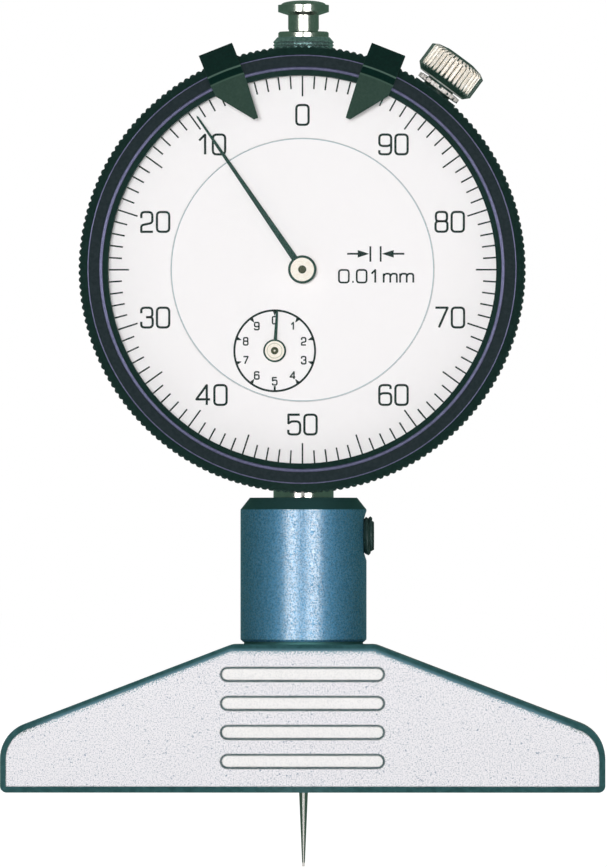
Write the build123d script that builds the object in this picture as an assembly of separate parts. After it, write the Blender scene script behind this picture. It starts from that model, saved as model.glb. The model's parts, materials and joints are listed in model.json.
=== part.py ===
from build123d import *
import math
import os

os.makedirs("parts", exist_ok=True)

# Dial depth gauge. Millimetres, +Z up, dial facing -Y.
# The origin is the middle of the base's reference face, on the axis of the spindle.

# Driving dimensions
BASE_LENGTH = 80.0
BASE_DEPTH = 17.0
BASE_HEIGHT = 19.56
DIAL_HEIGHT = 69.07
CASE_RADIUS = 26.0
STEM_RADIUS = 4.0
SPINDLE_RADIUS = 2.5
STROKE = 10.8
NEEDLE_REACH = 9.9

# Clearances
CUT_OVERRUN = 2.0
BUSH_CLEARANCE = 0.02
STEM_CLEARANCE = 0.02
SPIGOT_CLEARANCE = 0.02
COVER_CLEARANCE = 0.03
GASKET_CLEARANCE = 0.03
PICK_TOLERANCE = 0.01
BEZEL_CLEARANCE = 0.08
PIVOT_CLEARANCE = 0.03
SCREW_CLEARANCE = 0.05
SEAT_GAP = 0.05
SIDE_GAP = 0.3

# Base block
BASE_TOP_WIDTH = 19.0
BASE_END_HEIGHT = 7.85
BASE_END_RADIUS = 5.0
BASE_SHOULDER_RADIUS = 2.5
BASE_FOOT_RADIUS = 0.9
BASE_EDGE_CHAMFER = 0.8
NEEDLE_HOLE_RADIUS = 2.8
RECESS_COUNT = 4
RECESS_LENGTH = 21.7
RECESS_WIDTH = 1.9
RECESS_DEPTH = 0.4
RECESS_PITCH = 3.83
RECESS_FIRST_HEIGHT = 4.14
RECESS_WALL_ANGLE = 22.0

# Sleeve on the base
SLEEVE_RADIUS = 8.36
STEM_SHOWN = 0.72
SLEEVE_CHAMFER_WIDTH = 1.25
SLEEVE_CHAMFER_HEIGHT = 1.58
SLEEVE_NECK_RADIUS = 7.9
SLEEVE_NECK_HEIGHT = 0.3
SLEEVE_FOOT_CHAMFER = 0.35
SPIGOT_RADIUS = 6.0
SPIGOT_DEPTH = 11.4
STEM_DEPTH = 15.6
SLEEVE_LOWER_BORE_RADIUS = 3.3

# Clamp screw and pad in the sleeve
SET_SCREW_HEIGHT_SHARE = 0.7398
SET_SCREW_RADIUS = 2.5
SET_SCREW_REACH = 9.35
SET_SCREW_PITCH = 0.8
SET_SCREW_THREAD_DEPTH = 0.3
SET_SCREW_CHAMFER = 0.35
SET_SCREW_SOCKET = 2.5
SET_SCREW_SOCKET_DEPTH = 2.0
SPOT_FACE_RADIUS = 3.3
SPOT_FACE_DEPTH = 0.4
PAD_THICKNESS = 1.2
PAD_RADIUS = 2.0

# Depths along Y: the spindle runs at zero, the dial lies in front of it
FRONT_WALL_BACK = -5.8
FRONT_WALL = 1.0
DIAL_SEAT = 0.9
DIAL_THICKNESS = 0.4
DIAL_TO_CRYSTAL = 2.8
CRYSTAL_THICKNESS = 1.2
BEZEL_LIP = 0.5
CASE_BACK = 7.4
BEZEL_SKIRT = 3.3

# Case
CASE_WALL = 2.0
SEAT_INSET = 0.94
COVER_RIM = 1.0
COVER_THICKNESS = 1.0
GASKET_THICKNESS = 0.2
COVER_SCREW_INSET = 1.7
GASKET_WIDTH = 5.0
COVER_BOSS_RADIUS = 2.0
COVER_BOSS_LENGTH = 2.8
COVER_SCREW_COUNT = 4
COVER_SCREW_ANGLE = 45.0
COVER_SCREW_RADIUS = 0.95
COVER_SCREW_LENGTH = 2.2
COVER_HEAD_RADIUS = 1.75
COVER_HEAD_HEIGHT = 0.75
CASE_BOSS_RADIUS = 5.4
CASE_BOSS_REACH = 1.6
CASE_BOSS_DEPTH = 3.2
CASE_EDGE_CHAMFER = 0.6

# Stem, bushes and lifting knob
STEM_WALL = 0.9
STEM_BUSH_LENGTH = 7.0
UPPER_BUSH_RADIUS = 4.04
UPPER_BUSH_SHOWN = 1.6
UPPER_BUSH_THREAD_PITCH = 0.42
UPPER_BUSH_THREAD_DEPTH = 0.18
UPPER_BUSH_CHAMFER_HEIGHT = 0.64
UPPER_BUSH_CHAMFER_WIDTH = 0.55
KNOB_FLANGE_RADIUS = 3.35
KNOB_FLANGE_HEIGHT = 0.75
KNOB_FLANGE_CHAMFER = 0.17
KNOB_WAIST_RADIUS = 1.95
KNOB_WAIST_HEIGHT = 0.3
KNOB_NECK_RADIUS = 2.04
KNOB_NECK_HEIGHT = 1.89
KNOB_HEAD_RADIUS = 3.37
KNOB_UNDERSIDE_HEIGHT = 0.43
KNOB_RIM_HEIGHT = 0.93
KNOB_BEVEL_HEIGHT = 0.07
KNOB_BEVEL_WIDTH = 0.42
KNOB_DOME_HEIGHT = 0.55
KNOB_DOME_STEPS = 6
SPINDLE_TIP_RADIUS = 1.25

# Spindle, rack and needle
RACK_PITCH = 0.625
RACK_LINE = 2.07
RACK_ADDENDUM = 0.2
RACK_DEDENDUM = 0.25
RACK_RUNOUT = 1.6
RACK_TOOTH_SHARE = 0.46
PRESSURE_ANGLE = 20.0
SPINDLE_FOOT = 16.0
THREAD_RADIUS = 1.25
THREAD_LENGTH = 4.0
SHANK_RADIUS = 1.9
SHANK_LENGTH = 6.0
SHANK_CONE = 2.6
NEEDLE_RADIUS = 0.6
NEEDLE_STRAIGHT = 7.4
NEEDLE_TIP_RADIUS = 0.17
GUIDE_PIN_RADIUS = 0.7
GUIDE_PIN_RISE = 4.0
GUIDE_PIN_SEAT = 1.6
GUIDE_PIN_PROUD = 0.4
SPRING_PIN_RADIUS = 0.6
SPRING_PIN_RISE = 2.0
SPRING_PIN_SEAT = 1.5
SPRING_PIN_PROUD = 0.5
SPRING_X = 4.7
SPRING_RADIUS = 1.0
SPRING_WIRE = 0.2
SPRING_ANCHOR_DROP_SHARE = 0.625
SPRING_LOOP_RADIUS = 0.82
SPRING_LOOP_GAP = 0.15
SPRING_BORE_RADIUS = 0.6

# Gear train
PINION_TEETH = 16
WHEEL_TEETH = 100
CENTRE_TEETH = 10
COUNTER_DROP_SHARE = 0.41154
TAKE_UP_ANGLE = -45.0
PINION_LENGTH = 3.6
PINION_ADDENDUM = 0.17
PINION_DEDENDUM = 0.26
PINION_TOOTH_SHARE = 0.44
WHEEL_THICKNESS = 0.5
WHEEL_GAP = 0.3
WHEEL_ADDENDUM = 0.22
WHEEL_DEDENDUM = 0.28
WHEEL_TOOTH_SHARE = 0.42
WHEEL_TIP_SHARE = 0.2
WHEEL_HUB_RADIUS = 1.5
WHEEL_HUB_LENGTH = 0.9
WHEEL_HOLE_COUNT = 5
WHEEL_HOLE_RADIUS = 2.1
WHEEL_HOLE_CIRCLE = 5.6
LEAF_ADDENDUM = 0.16
LEAF_DEDENDUM = 0.32
LEAF_SHARE = 0.36
LEAF_TIP_SHARE = 0.2
ARBOR_RADIUS = 0.8
PIVOT_RADIUS = 0.4
JEWEL_RADIUS = 0.95
JEWEL_THICKNESS = 0.6
COLLET_RADIUS = 1.1
COLLET_LENGTH = 0.7
HAIRSPRING_TURNS = 3
HAIRSPRING_PITCH = 1.0
HAIRSPRING_STRIP = 0.12
HAIRSPRING_WIDTH = 0.5
HAIRSPRING_STEPS = 24
STUD_RADIUS = 0.5

# Movement plate, bridge and their fastenings
PLATE_FRONT = 3.2
PLATE_THICKNESS = 1.0
PLATE_MARGIN = 2.2
PLATE_SLOT_MARGIN = 3.0
PLATE_TAKE_UP_MARGIN = 6.6
PILLAR_RADIUS = 1.25
PILLAR_PLACES_SHARES = [(-0.46, 0.5), (0.46, 0.5), (-0.8, -0.33)]
PLATE_SCREW_RADIUS = 0.7
PLATE_SCREW_LENGTH = 3.2
PLATE_SCREW_HEAD_RADIUS = 1.3
PLATE_SCREW_HEAD_HEIGHT = 0.8
SLOT_WIDTH = 0.35
SLOT_DEPTH = 0.35
SLOT_CLEARANCE = 0.1
BRIDGE_THICKNESS = 0.9
BRIDGE_HALF_SPAN_SHARE = 0.5417
BRIDGE_RISE = 3.5
BRIDGE_PILLAR_RADIUS = 1.1
BRIDGE_SCREW_RADIUS = 0.5
BRIDGE_SCREW_LENGTH = 2.0
BRIDGE_SCREW_HEAD_RADIUS = 0.95
BRIDGE_SCREW_HEAD_HEIGHT = 0.55
BRIDGE_MARGIN = 2.2

# Dial, pointers and hubs
DIAL_SEAM_RADIUS_SHARE = 0.67077
DIAL_SEAM_GAP = 0.04
DIAL_RING_INSET = 0.05
DIAL_HOLE_RADIUS = 0.8
DIAL_FOOT_RADIUS = 0.5
DIAL_FOOT_LENGTH = 1.3
DIAL_FOOT_INSET = 2.5
DIAL_FOOT_ANGLES = [20.0, 200.0]
COUNTER_HUB_RADIUS = 1.49
COUNTER_HUB_LENGTH = 0.7
COUNTER_HUB_LIFT = 0.3
COUNTER_POINTER_LENGTH = 5.4
COUNTER_POINTER_WIDTH = 0.54
COUNTER_POINTER_TIP = 0.28
COUNTER_POINTER_ANGLE = 3.5
POINTER_THICKNESS = 0.15
POINTER_SEAT = 0.2
MAIN_HUB_RADIUS = 1.85
MAIN_HUB_LENGTH = 0.8
MAIN_HUB_LIFT = 1.2
MAIN_POINTER_SHORT = 0.93
MAIN_POINTER_WIDTH = 0.92
MAIN_POINTER_TIP = 0.26
MAIN_POINTER_ANGLE = -34.5
HUB_EDGE_CHAMFER = 0.15

# Bezel
BEZEL_RIM = 3.36
BEZEL_LIP_INSET = 0.4
BEZEL_SLOPE_WIDTH = 0.92
BEZEL_SHOULDER_WIDTH = 1.15
BEZEL_LIP_DROP = 0.4
BEZEL_SHOULDER_DROP = 0.9
CRYSTAL_INSET = 0.1
CRYSTAL_GASKET_WIDTH = 0.45
KNURL_COUNT = 200
KNURL_DEPTH = 0.24
KNURL_TIP_SHARE = 0.3
GROOVE_START = 3.0
GROOVE_WIDTH = 0.8
GROOVE_DEPTH = 0.67
SNAP_WIRE_RADIUS = 0.35
SNAP_RING_PROUD = 0.1
SNAP_RING_SET_BACK = 1.2
SNAP_RING_OPENING = 14.0
FRICTION_SPRING_INSET = 0.4
FRICTION_SPRING_WIDTH = 3.1
FRICTION_FINGER_WIDTH_SHARE = 0.5
FRICTION_SPRING_THICKNESS = 0.2
FRICTION_FINGER_COUNT = 3
FRICTION_FINGER_LENGTH = 7.0
FRICTION_FINGER_FLAT = 2.0

# Limit markers
MARKER_ANGLE = 21.5
MARKER_SHEET = 0.35
MARKER_WIDTH = 4.7
MARKER_RISE = 1.78
MARKER_FOLD_OUTER_INSET = 1.32
MARKER_FOLD_INNER_INSET = 2.42
MARKER_TIP_INSET = 8.69
MARKER_HEEL_INSET = 4.05
MARKER_OUTER_HEEL = 2.2
MARKER_INNER_HEEL = 2.3
MARKER_TIP_OFFSET = 1.35
MARKER_TIP_WIDTH = 0.6
MARKER_STEP = 0.4
MARKER_HOOK_GAP = 0.15

# Thumb screw, collar and shoe that clamp the bezel
CLAMP_ANGLE = 36.5
CLAMP_BOSS_RADIUS = 3.2
CLAMP_BOSS_RISE = 0.17
CLAMP_CONE_SINK = 1.21
CLAMP_SCREW_RADIUS = 2.0
CLAMP_CONE_TIP = 0.2
CLAMP_HOLE_FLOOR_RISE = 0.05
CLAMP_HEAD_RISE = 1.39
CLAMP_HEAD_RADIUS = 4.17
CLAMP_HEAD_LENGTH = 4.42
CLAMP_RIDGES = 38
CLAMP_RIDGE_DEPTH = 0.28
CLAMP_RIDGE_FLANK_SHARE = 0.3
CLAMP_HEAD_ROUNDING = 0.75
CLAMP_HEAD_DISH = 0.3
COLLAR_RADIUS = 3.12
COLLAR_THICKNESS = 0.66
COLLAR_EDGE = 0.26
SHOE_RADIUS = 0.9
SHOE_RISE = 1.2
SHOE_CLEARANCE = 0.03

# Sizes that follow from the case's radius
BEZEL_RADIUS = CASE_RADIUS + BEZEL_RIM
BEZEL_OPENING_RADIUS = CASE_RADIUS - BEZEL_LIP_INSET
BEZEL_INNER_EDGE_RADIUS = BEZEL_OPENING_RADIUS + BEZEL_SLOPE_WIDTH
BEZEL_OUTER_EDGE_RADIUS = BEZEL_RADIUS - BEZEL_SHOULDER_WIDTH
GROOVE_RADIUS = BEZEL_RADIUS - GROOVE_DEPTH
CRYSTAL_RADIUS = CASE_RADIUS - CRYSTAL_INSET
SNAP_RING_RADIUS = CASE_RADIUS + SNAP_RING_PROUD
CAVITY_RADIUS = CASE_RADIUS - CASE_WALL
COVER_RADIUS = CASE_RADIUS - COVER_RIM
COVER_SCREW_CIRCLE = CAVITY_RADIUS - COVER_SCREW_INSET
DIAL_RING_RADIUS = CASE_RADIUS - DIAL_RING_INSET
DIAL_SEAM_RADIUS = CASE_RADIUS * DIAL_SEAM_RADIUS_SHARE
SEAT_RADIUS = DIAL_SEAM_RADIUS - SEAT_INSET
DIAL_FOOT_CIRCLE = SEAT_RADIUS - DIAL_FOOT_INSET
MAIN_POINTER_LENGTH = BEZEL_OPENING_RADIUS - MAIN_POINTER_SHORT
FRICTION_SPRING_OUTER = CAVITY_RADIUS - FRICTION_SPRING_INSET
FRICTION_SPRING_INNER = FRICTION_SPRING_OUTER - FRICTION_SPRING_WIDTH
COUNTER_DROP = CASE_RADIUS * COUNTER_DROP_SHARE
SPRING_ANCHOR_DROP = CAVITY_RADIUS * SPRING_ANCHOR_DROP_SHARE
BRIDGE_HALF_SPAN = CAVITY_RADIUS * BRIDGE_HALF_SPAN_SHARE
MARKER_TOP = BEZEL_RADIUS + MARKER_RISE
MARKER_FOLD_OUTER = BEZEL_RADIUS - MARKER_FOLD_OUTER_INSET
MARKER_FOLD_INNER = BEZEL_RADIUS - MARKER_FOLD_INNER_INSET
MARKER_HEEL_RADIUS = BEZEL_RADIUS - MARKER_HEEL_INSET
MARKER_TIP_RADIUS = BEZEL_RADIUS - MARKER_TIP_INSET
CLAMP_BOSS_TOP = BEZEL_RADIUS + CLAMP_BOSS_RISE
CLAMP_CONE_BASE = BEZEL_RADIUS - CLAMP_CONE_SINK
CLAMP_HOLE_FLOOR = CASE_RADIUS + CLAMP_HOLE_FLOOR_RISE
CLAMP_SCREW_HEAD = BEZEL_RADIUS + CLAMP_HEAD_RISE
SHOE_CIRCLE = CASE_RADIUS + SHOE_RISE

# Places along Y that follow from the depths above
FRONT_WALL_FRONT = FRONT_WALL_BACK - FRONT_WALL
DIAL_BACK = FRONT_WALL_FRONT - DIAL_SEAT
DIAL_FACE = DIAL_BACK - DIAL_THICKNESS
CRYSTAL_BACK = DIAL_FACE - DIAL_TO_CRYSTAL
CRYSTAL_FRONT = CRYSTAL_BACK - CRYSTAL_THICKNESS
BEZEL_FRONT = CRYSTAL_FRONT - BEZEL_LIP
BEZEL_BACK = DIAL_FACE + BEZEL_SKIRT
COVER_FRONT = CASE_BACK - COVER_THICKNESS
CAVITY_BACK = COVER_FRONT - GASKET_THICKNESS
PLATE_BACK = PLATE_FRONT + PLATE_THICKNESS
TAKE_UP_WHEEL_FRONT = FRONT_WALL_BACK + WHEEL_GAP
TAKE_UP_WHEEL_BACK = TAKE_UP_WHEEL_FRONT + WHEEL_THICKNESS
FIRST_WHEEL_FRONT = TAKE_UP_WHEEL_BACK + WHEEL_GAP
FIRST_WHEEL_BACK = FIRST_WHEEL_FRONT + WHEEL_THICKNESS
BRIDGE_FRONT = FIRST_WHEEL_BACK + WHEEL_GAP
BRIDGE_BACK = BRIDGE_FRONT + BRIDGE_THICKNESS
CLAMP_Y = BEZEL_BACK + SIDE_GAP + CLAMP_BOSS_RADIUS

# Gear geometry, worked out from the rack's pitch and the counter's place
PINION_RADIUS = RACK_PITCH * PINION_TEETH / (2 * math.pi)
COUNTER_X = -(RACK_LINE + PINION_RADIUS)
COUNTER_Z = -COUNTER_DROP
CENTRE_DISTANCE = math.hypot(COUNTER_X, COUNTER_Z)
WHEEL_RADIUS = CENTRE_DISTANCE * WHEEL_TEETH / (WHEEL_TEETH + CENTRE_TEETH)
LEAF_RADIUS = CENTRE_DISTANCE - WHEEL_RADIUS
TAKE_UP_X = CENTRE_DISTANCE * math.cos(math.radians(TAKE_UP_ANGLE))
TAKE_UP_Z = CENTRE_DISTANCE * math.sin(math.radians(TAKE_UP_ANGLE))
MESH_ANGLE = math.degrees(math.atan2(-COUNTER_Z, -COUNTER_X))
LEAF_STEP = 360 / CENTRE_TEETH
LEAF_PHASE = MESH_ANGLE + 180 + LEAF_STEP / 2
LEAF_OFFSET = (LEAF_PHASE - TAKE_UP_ANGLE + LEAF_STEP / 2) % LEAF_STEP - LEAF_STEP / 2
WHEEL_STEP = 360 / WHEEL_TEETH
TAKE_UP_PHASE = TAKE_UP_ANGLE + 180 - LEAF_OFFSET * CENTRE_TEETH / WHEEL_TEETH + WHEEL_STEP / 2

# Heights along Z that follow
SLEEVE_TOP = DIAL_HEIGHT - BEZEL_RADIUS - STEM_SHOWN
SET_SCREW_HEIGHT = BASE_HEIGHT + (SLEEVE_TOP - BASE_HEIGHT) * SET_SCREW_HEIGHT_SHARE
UPPER_BUSH_TOP = DIAL_HEIGHT + BEZEL_RADIUS + UPPER_BUSH_SHOWN
STEM_FOOT = SLEEVE_TOP - STEM_DEPTH
CASE_BOTTOM = DIAL_HEIGHT - CASE_RADIUS - CASE_BOSS_REACH
CASE_TOP = DIAL_HEIGHT + CASE_RADIUS + CASE_BOSS_REACH
STEM_TOP = CASE_BOTTOM + CASE_BOSS_REACH + CASE_BOSS_DEPTH
SPRING_X_END = SPRING_X + SPRING_RADIUS + SPRING_PIN_PROUD
PILLAR_PLACES = [(CAVITY_RADIUS * x, CAVITY_RADIUS * z) for x, z in PILLAR_PLACES_SHARES]


# Building helpers. Depths run along Y, and x and z are taken from the middle of the dial.
def rod_y(radius, front, back, x=0, z=0):
    """A round bar along Y."""
    plane = Plane(origin=(x, front, DIAL_HEIGHT + z), z_dir=(0, 1, 0))
    return Solid.make_cylinder(radius, back - front, plane)


def ring_y(outer, inner, front, back, x=0, z=0):
    """A round bar along Y with a hole through it."""
    hole = rod_y(inner, front - CUT_OVERRUN, back + CUT_OVERRUN, x, z)
    return rod_y(outer, front, back, x, z) - hole


def rod_z(radius, low, high, x=0, y=0):
    """A round bar along Z, at heights from the base."""
    return Solid.make_cylinder(radius, high - low, Plane(origin=(x, y, low)))


def rod_x(radius, left, right, y, z):
    """A round bar along X."""
    return Solid.make_cylinder(radius, right - left, Plane(origin=(left, y, z), z_dir=(1, 0, 0)))


def block(left, right, front, back, low, high):
    """A rectangular block between six places."""
    middle = Vector(left + right, front + back, low + high) / 2
    return Pos(middle) * Solid(Box(right - left, back - front, high - low).wrapped)


def closed_face(points):
    return Face(Wire.make_polygon(points, close=True))


def turned_y(profile):
    """A profile of (radius, depth) points turned about the dial's axis."""
    face = closed_face([(radius, depth, DIAL_HEIGHT) for radius, depth in profile])
    axis = Axis((0, 0, DIAL_HEIGHT), (0, 1, 0))
    return Solid.revolve(face, 360, axis)


def turned_z(profile):
    """A profile of (radius, height) points turned about the Z axis."""
    return Solid.revolve(closed_face([(radius, 0, height) for radius, height in profile]), 360, Axis.Z)


def plate_xz(outline, front, back):
    """An outline of (x, z) points from the middle of the dial, as thick as front to back."""
    face = closed_face([(x, front, DIAL_HEIGHT + z) for x, z in outline])
    return Solid.extrude(face, Vector(0, back - front, 0))


def polar(radius, degrees):
    angle = math.radians(degrees)
    return radius * math.cos(angle), radius * math.sin(angle)


def turned_to(shape, degrees):
    """Turns a shape clockwise about the dial's axis, as seen from the front."""
    return shape.rotate(Axis((0, 0, DIAL_HEIGHT), (0, 1, 0)), degrees)


def on_clamp_axis(shape):
    """Stands a shape, made along Z from the dial's middle, on the axis of the thumb screw."""
    return Pos(0, CLAMP_Y, DIAL_HEIGHT) * Rot(0, CLAMP_ANGLE, 0) * shape


def joined(shapes):
    """Separate solids kept as one node."""
    return Compound(children=[Solid(shape.wrapped) for shape in shapes])


def only(shape):
    """The single solid that a cut or a sum leaves."""
    solids = shape.solids()
    return max(solids, key=lambda solid: solid.volume)


def save(shape, name):
    export_step(shape, "parts/" + name + ".step")


# Teeth
def tooth_ring(teeth, pitch_radius, addendum, dedendum, tooth_share, tip_share, phase, centre):
    """Points round a toothed wheel, with one tooth's middle at the phase angle."""
    step = 360 / teeth
    points = []
    for index in range(teeth):
        middle = phase + index * step
        for radius, share in (
            (pitch_radius - dedendum, -tooth_share),
            (pitch_radius, -tooth_share),
            (pitch_radius + addendum, -tip_share),
            (pitch_radius + addendum, tip_share),
            (pitch_radius, tooth_share),
            (pitch_radius - dedendum, tooth_share),
        ):
            x, z = polar(radius, middle + share * step / 2)
            points.append((centre[0] + x, centre[1] + z))
    return points


def rack_pinion_outline():
    """The pinion's teeth, with leaning flanks that roll on the rack's straight ones."""
    lean = (PINION_ADDENDUM + PINION_DEDENDUM) * math.tan(math.radians(PRESSURE_ANGLE))
    tip_share = PINION_TOOTH_SHARE - lean / RACK_PITCH
    return tooth_ring(
        PINION_TEETH, PINION_RADIUS, PINION_ADDENDUM, PINION_DEDENDUM,
        PINION_TOOTH_SHARE, tip_share, 0, (COUNTER_X, COUNTER_Z),
    )


def leaf_outline():
    """The centre pinion's leaves."""
    return tooth_ring(
        CENTRE_TEETH, LEAF_RADIUS, LEAF_ADDENDUM, LEAF_DEDENDUM,
        LEAF_SHARE, LEAF_TIP_SHARE, LEAF_PHASE, (0, 0),
    )


def wheel_outline(phase, centre):
    return tooth_ring(
        WHEEL_TEETH, WHEEL_RADIUS, WHEEL_ADDENDUM, WHEEL_DEDENDUM,
        WHEEL_TOOTH_SHARE, WHEEL_TIP_SHARE, phase, centre,
    )


# Base
def base_block():
    half, top = BASE_LENGTH / 2, BASE_TOP_WIDTH / 2
    outline = [
        (-half, 0), (half, 0), (half, BASE_END_HEIGHT),
        (top, BASE_HEIGHT), (-top, BASE_HEIGHT), (-half, BASE_END_HEIGHT),
    ]
    front = -BASE_DEPTH / 2
    face = closed_face([(x, front, z) for x, z in outline])
    for radius, height in (
        (BASE_END_RADIUS, BASE_END_HEIGHT),
        (BASE_SHOULDER_RADIUS, BASE_HEIGHT),
        (BASE_FOOT_RADIUS, 0),
    ):
        corners = [v for v in face.vertices() if abs(v.Z - height) < PICK_TOLERANCE]
        face = face.fillet_2d(radius, corners)
    body = Solid.extrude(face, Vector(0, BASE_DEPTH, 0))
    faces = body.faces().sort_by(Axis.Y)
    rims = faces[0].edges() + faces[-1].edges()
    body = body.chamfer(BASE_EDGE_CHAMFER, None, rims)
    seat = SPIGOT_RADIUS + SPIGOT_CLEARANCE
    body -= rod_z(seat, BASE_HEIGHT - SPIGOT_DEPTH, BASE_HEIGHT + CUT_OVERRUN)
    body -= rod_z(NEEDLE_HOLE_RADIUS, -CUT_OVERRUN, BASE_HEIGHT)
    for side in (-1, 1):
        for index in range(RECESS_COUNT):
            height = RECESS_FIRST_HEIGHT + index * RECESS_PITCH
            body -= base_recess(side, height)
    return only(body)


def base_recess(side, height):
    """A shallow slot with round ends and leaning walls, sunk into the front or the back face."""
    plane = Plane(origin=(0, side * BASE_DEPTH / 2, height), x_dir=(1, 0, 0), z_dir=(0, -side, 0))
    outline = plane * SlotOverall(RECESS_LENGTH, RECESS_WIDTH)
    return extrude(outline, RECESS_DEPTH, dir=(0, -side, 0), taper=RECESS_WALL_ANGLE)


def stem_sleeve():
    foot = BASE_HEIGHT - SPIGOT_DEPTH
    neck = BASE_HEIGHT + SLEEVE_NECK_HEIGHT
    bore = STEM_RADIUS + STEM_CLEARANCE
    body = turned_z([
        (SLEEVE_LOWER_BORE_RADIUS, foot), (SPIGOT_RADIUS, foot), (SPIGOT_RADIUS, BASE_HEIGHT),
        (SLEEVE_NECK_RADIUS, BASE_HEIGHT), (SLEEVE_NECK_RADIUS, neck),
        (SLEEVE_RADIUS - SLEEVE_FOOT_CHAMFER, neck), (SLEEVE_RADIUS, neck + SLEEVE_FOOT_CHAMFER),
        (SLEEVE_RADIUS, SLEEVE_TOP - SLEEVE_CHAMFER_HEIGHT),
        (SLEEVE_RADIUS - SLEEVE_CHAMFER_WIDTH, SLEEVE_TOP), (bore, SLEEVE_TOP),
        (bore, STEM_FOOT - SIDE_GAP), (SLEEVE_LOWER_BORE_RADIUS, STEM_FOOT - SIDE_GAP),
    ])
    thread = SET_SCREW_RADIUS + SCREW_CLEARANCE
    body -= rod_x(thread, 0, SLEEVE_RADIUS + CUT_OVERRUN, 0, SET_SCREW_HEIGHT)
    seat = SLEEVE_RADIUS - SPOT_FACE_DEPTH
    body -= rod_x(SPOT_FACE_RADIUS, seat, SLEEVE_RADIUS + CUT_OVERRUN, 0, SET_SCREW_HEIGHT)
    return only(body)


def turned_x(profile, height):
    """A profile of (radius, x) points turned about a line along X at a height."""
    face = closed_face([(x, radius, height) for radius, x in profile])
    return Solid.revolve(face, 360, Axis((0, 0, height), (1, 0, 0)))


def stem_clamp_pad():
    """A short round pad whose inner end is hollowed to the stem."""
    back = STEM_RADIUS + PAD_THICKNESS
    body = rod_x(PAD_RADIUS, STEM_RADIUS - PAD_THICKNESS, back, 0, SET_SCREW_HEIGHT)
    return only(body - rod_z(STEM_RADIUS + STEM_CLEARANCE, STEM_FOOT, SLEEVE_TOP))


def grooved(start, end, radius, pitch, depth):
    """Profile points of a row of thread grooves between two places along a bar."""
    count = int((end - start) / pitch)
    points = []
    for index in range(count):
        low = start + index * pitch
        points += [(radius - depth, low), (radius, low + pitch / 2)]
    return points + [(radius - depth, start + count * pitch)]


def stem_clamp_screw():
    start = STEM_RADIUS + PAD_THICKNESS
    end = SET_SCREW_REACH
    rim = SET_SCREW_RADIUS - SET_SCREW_THREAD_DEPTH
    thread = grooved(
        start + SET_SCREW_CHAMFER, end - SET_SCREW_CHAMFER,
        SET_SCREW_RADIUS, SET_SCREW_PITCH, SET_SCREW_THREAD_DEPTH,
    )
    profile = [(0, start), (rim - SET_SCREW_CHAMFER, start)] + thread
    body = turned_x(profile + [(rim - SET_SCREW_CHAMFER, end), (0, end)], SET_SCREW_HEIGHT)
    plane = Plane(origin=(end - SET_SCREW_SOCKET_DEPTH, 0, SET_SCREW_HEIGHT), z_dir=(1, 0, 0))
    hexagon = RegularPolygon(SET_SCREW_SOCKET / 2, 6, major_radius=False)
    socket = extrude(plane * hexagon, SET_SCREW_SOCKET_DEPTH + CUT_OVERRUN)
    return only(body - socket)


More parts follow.
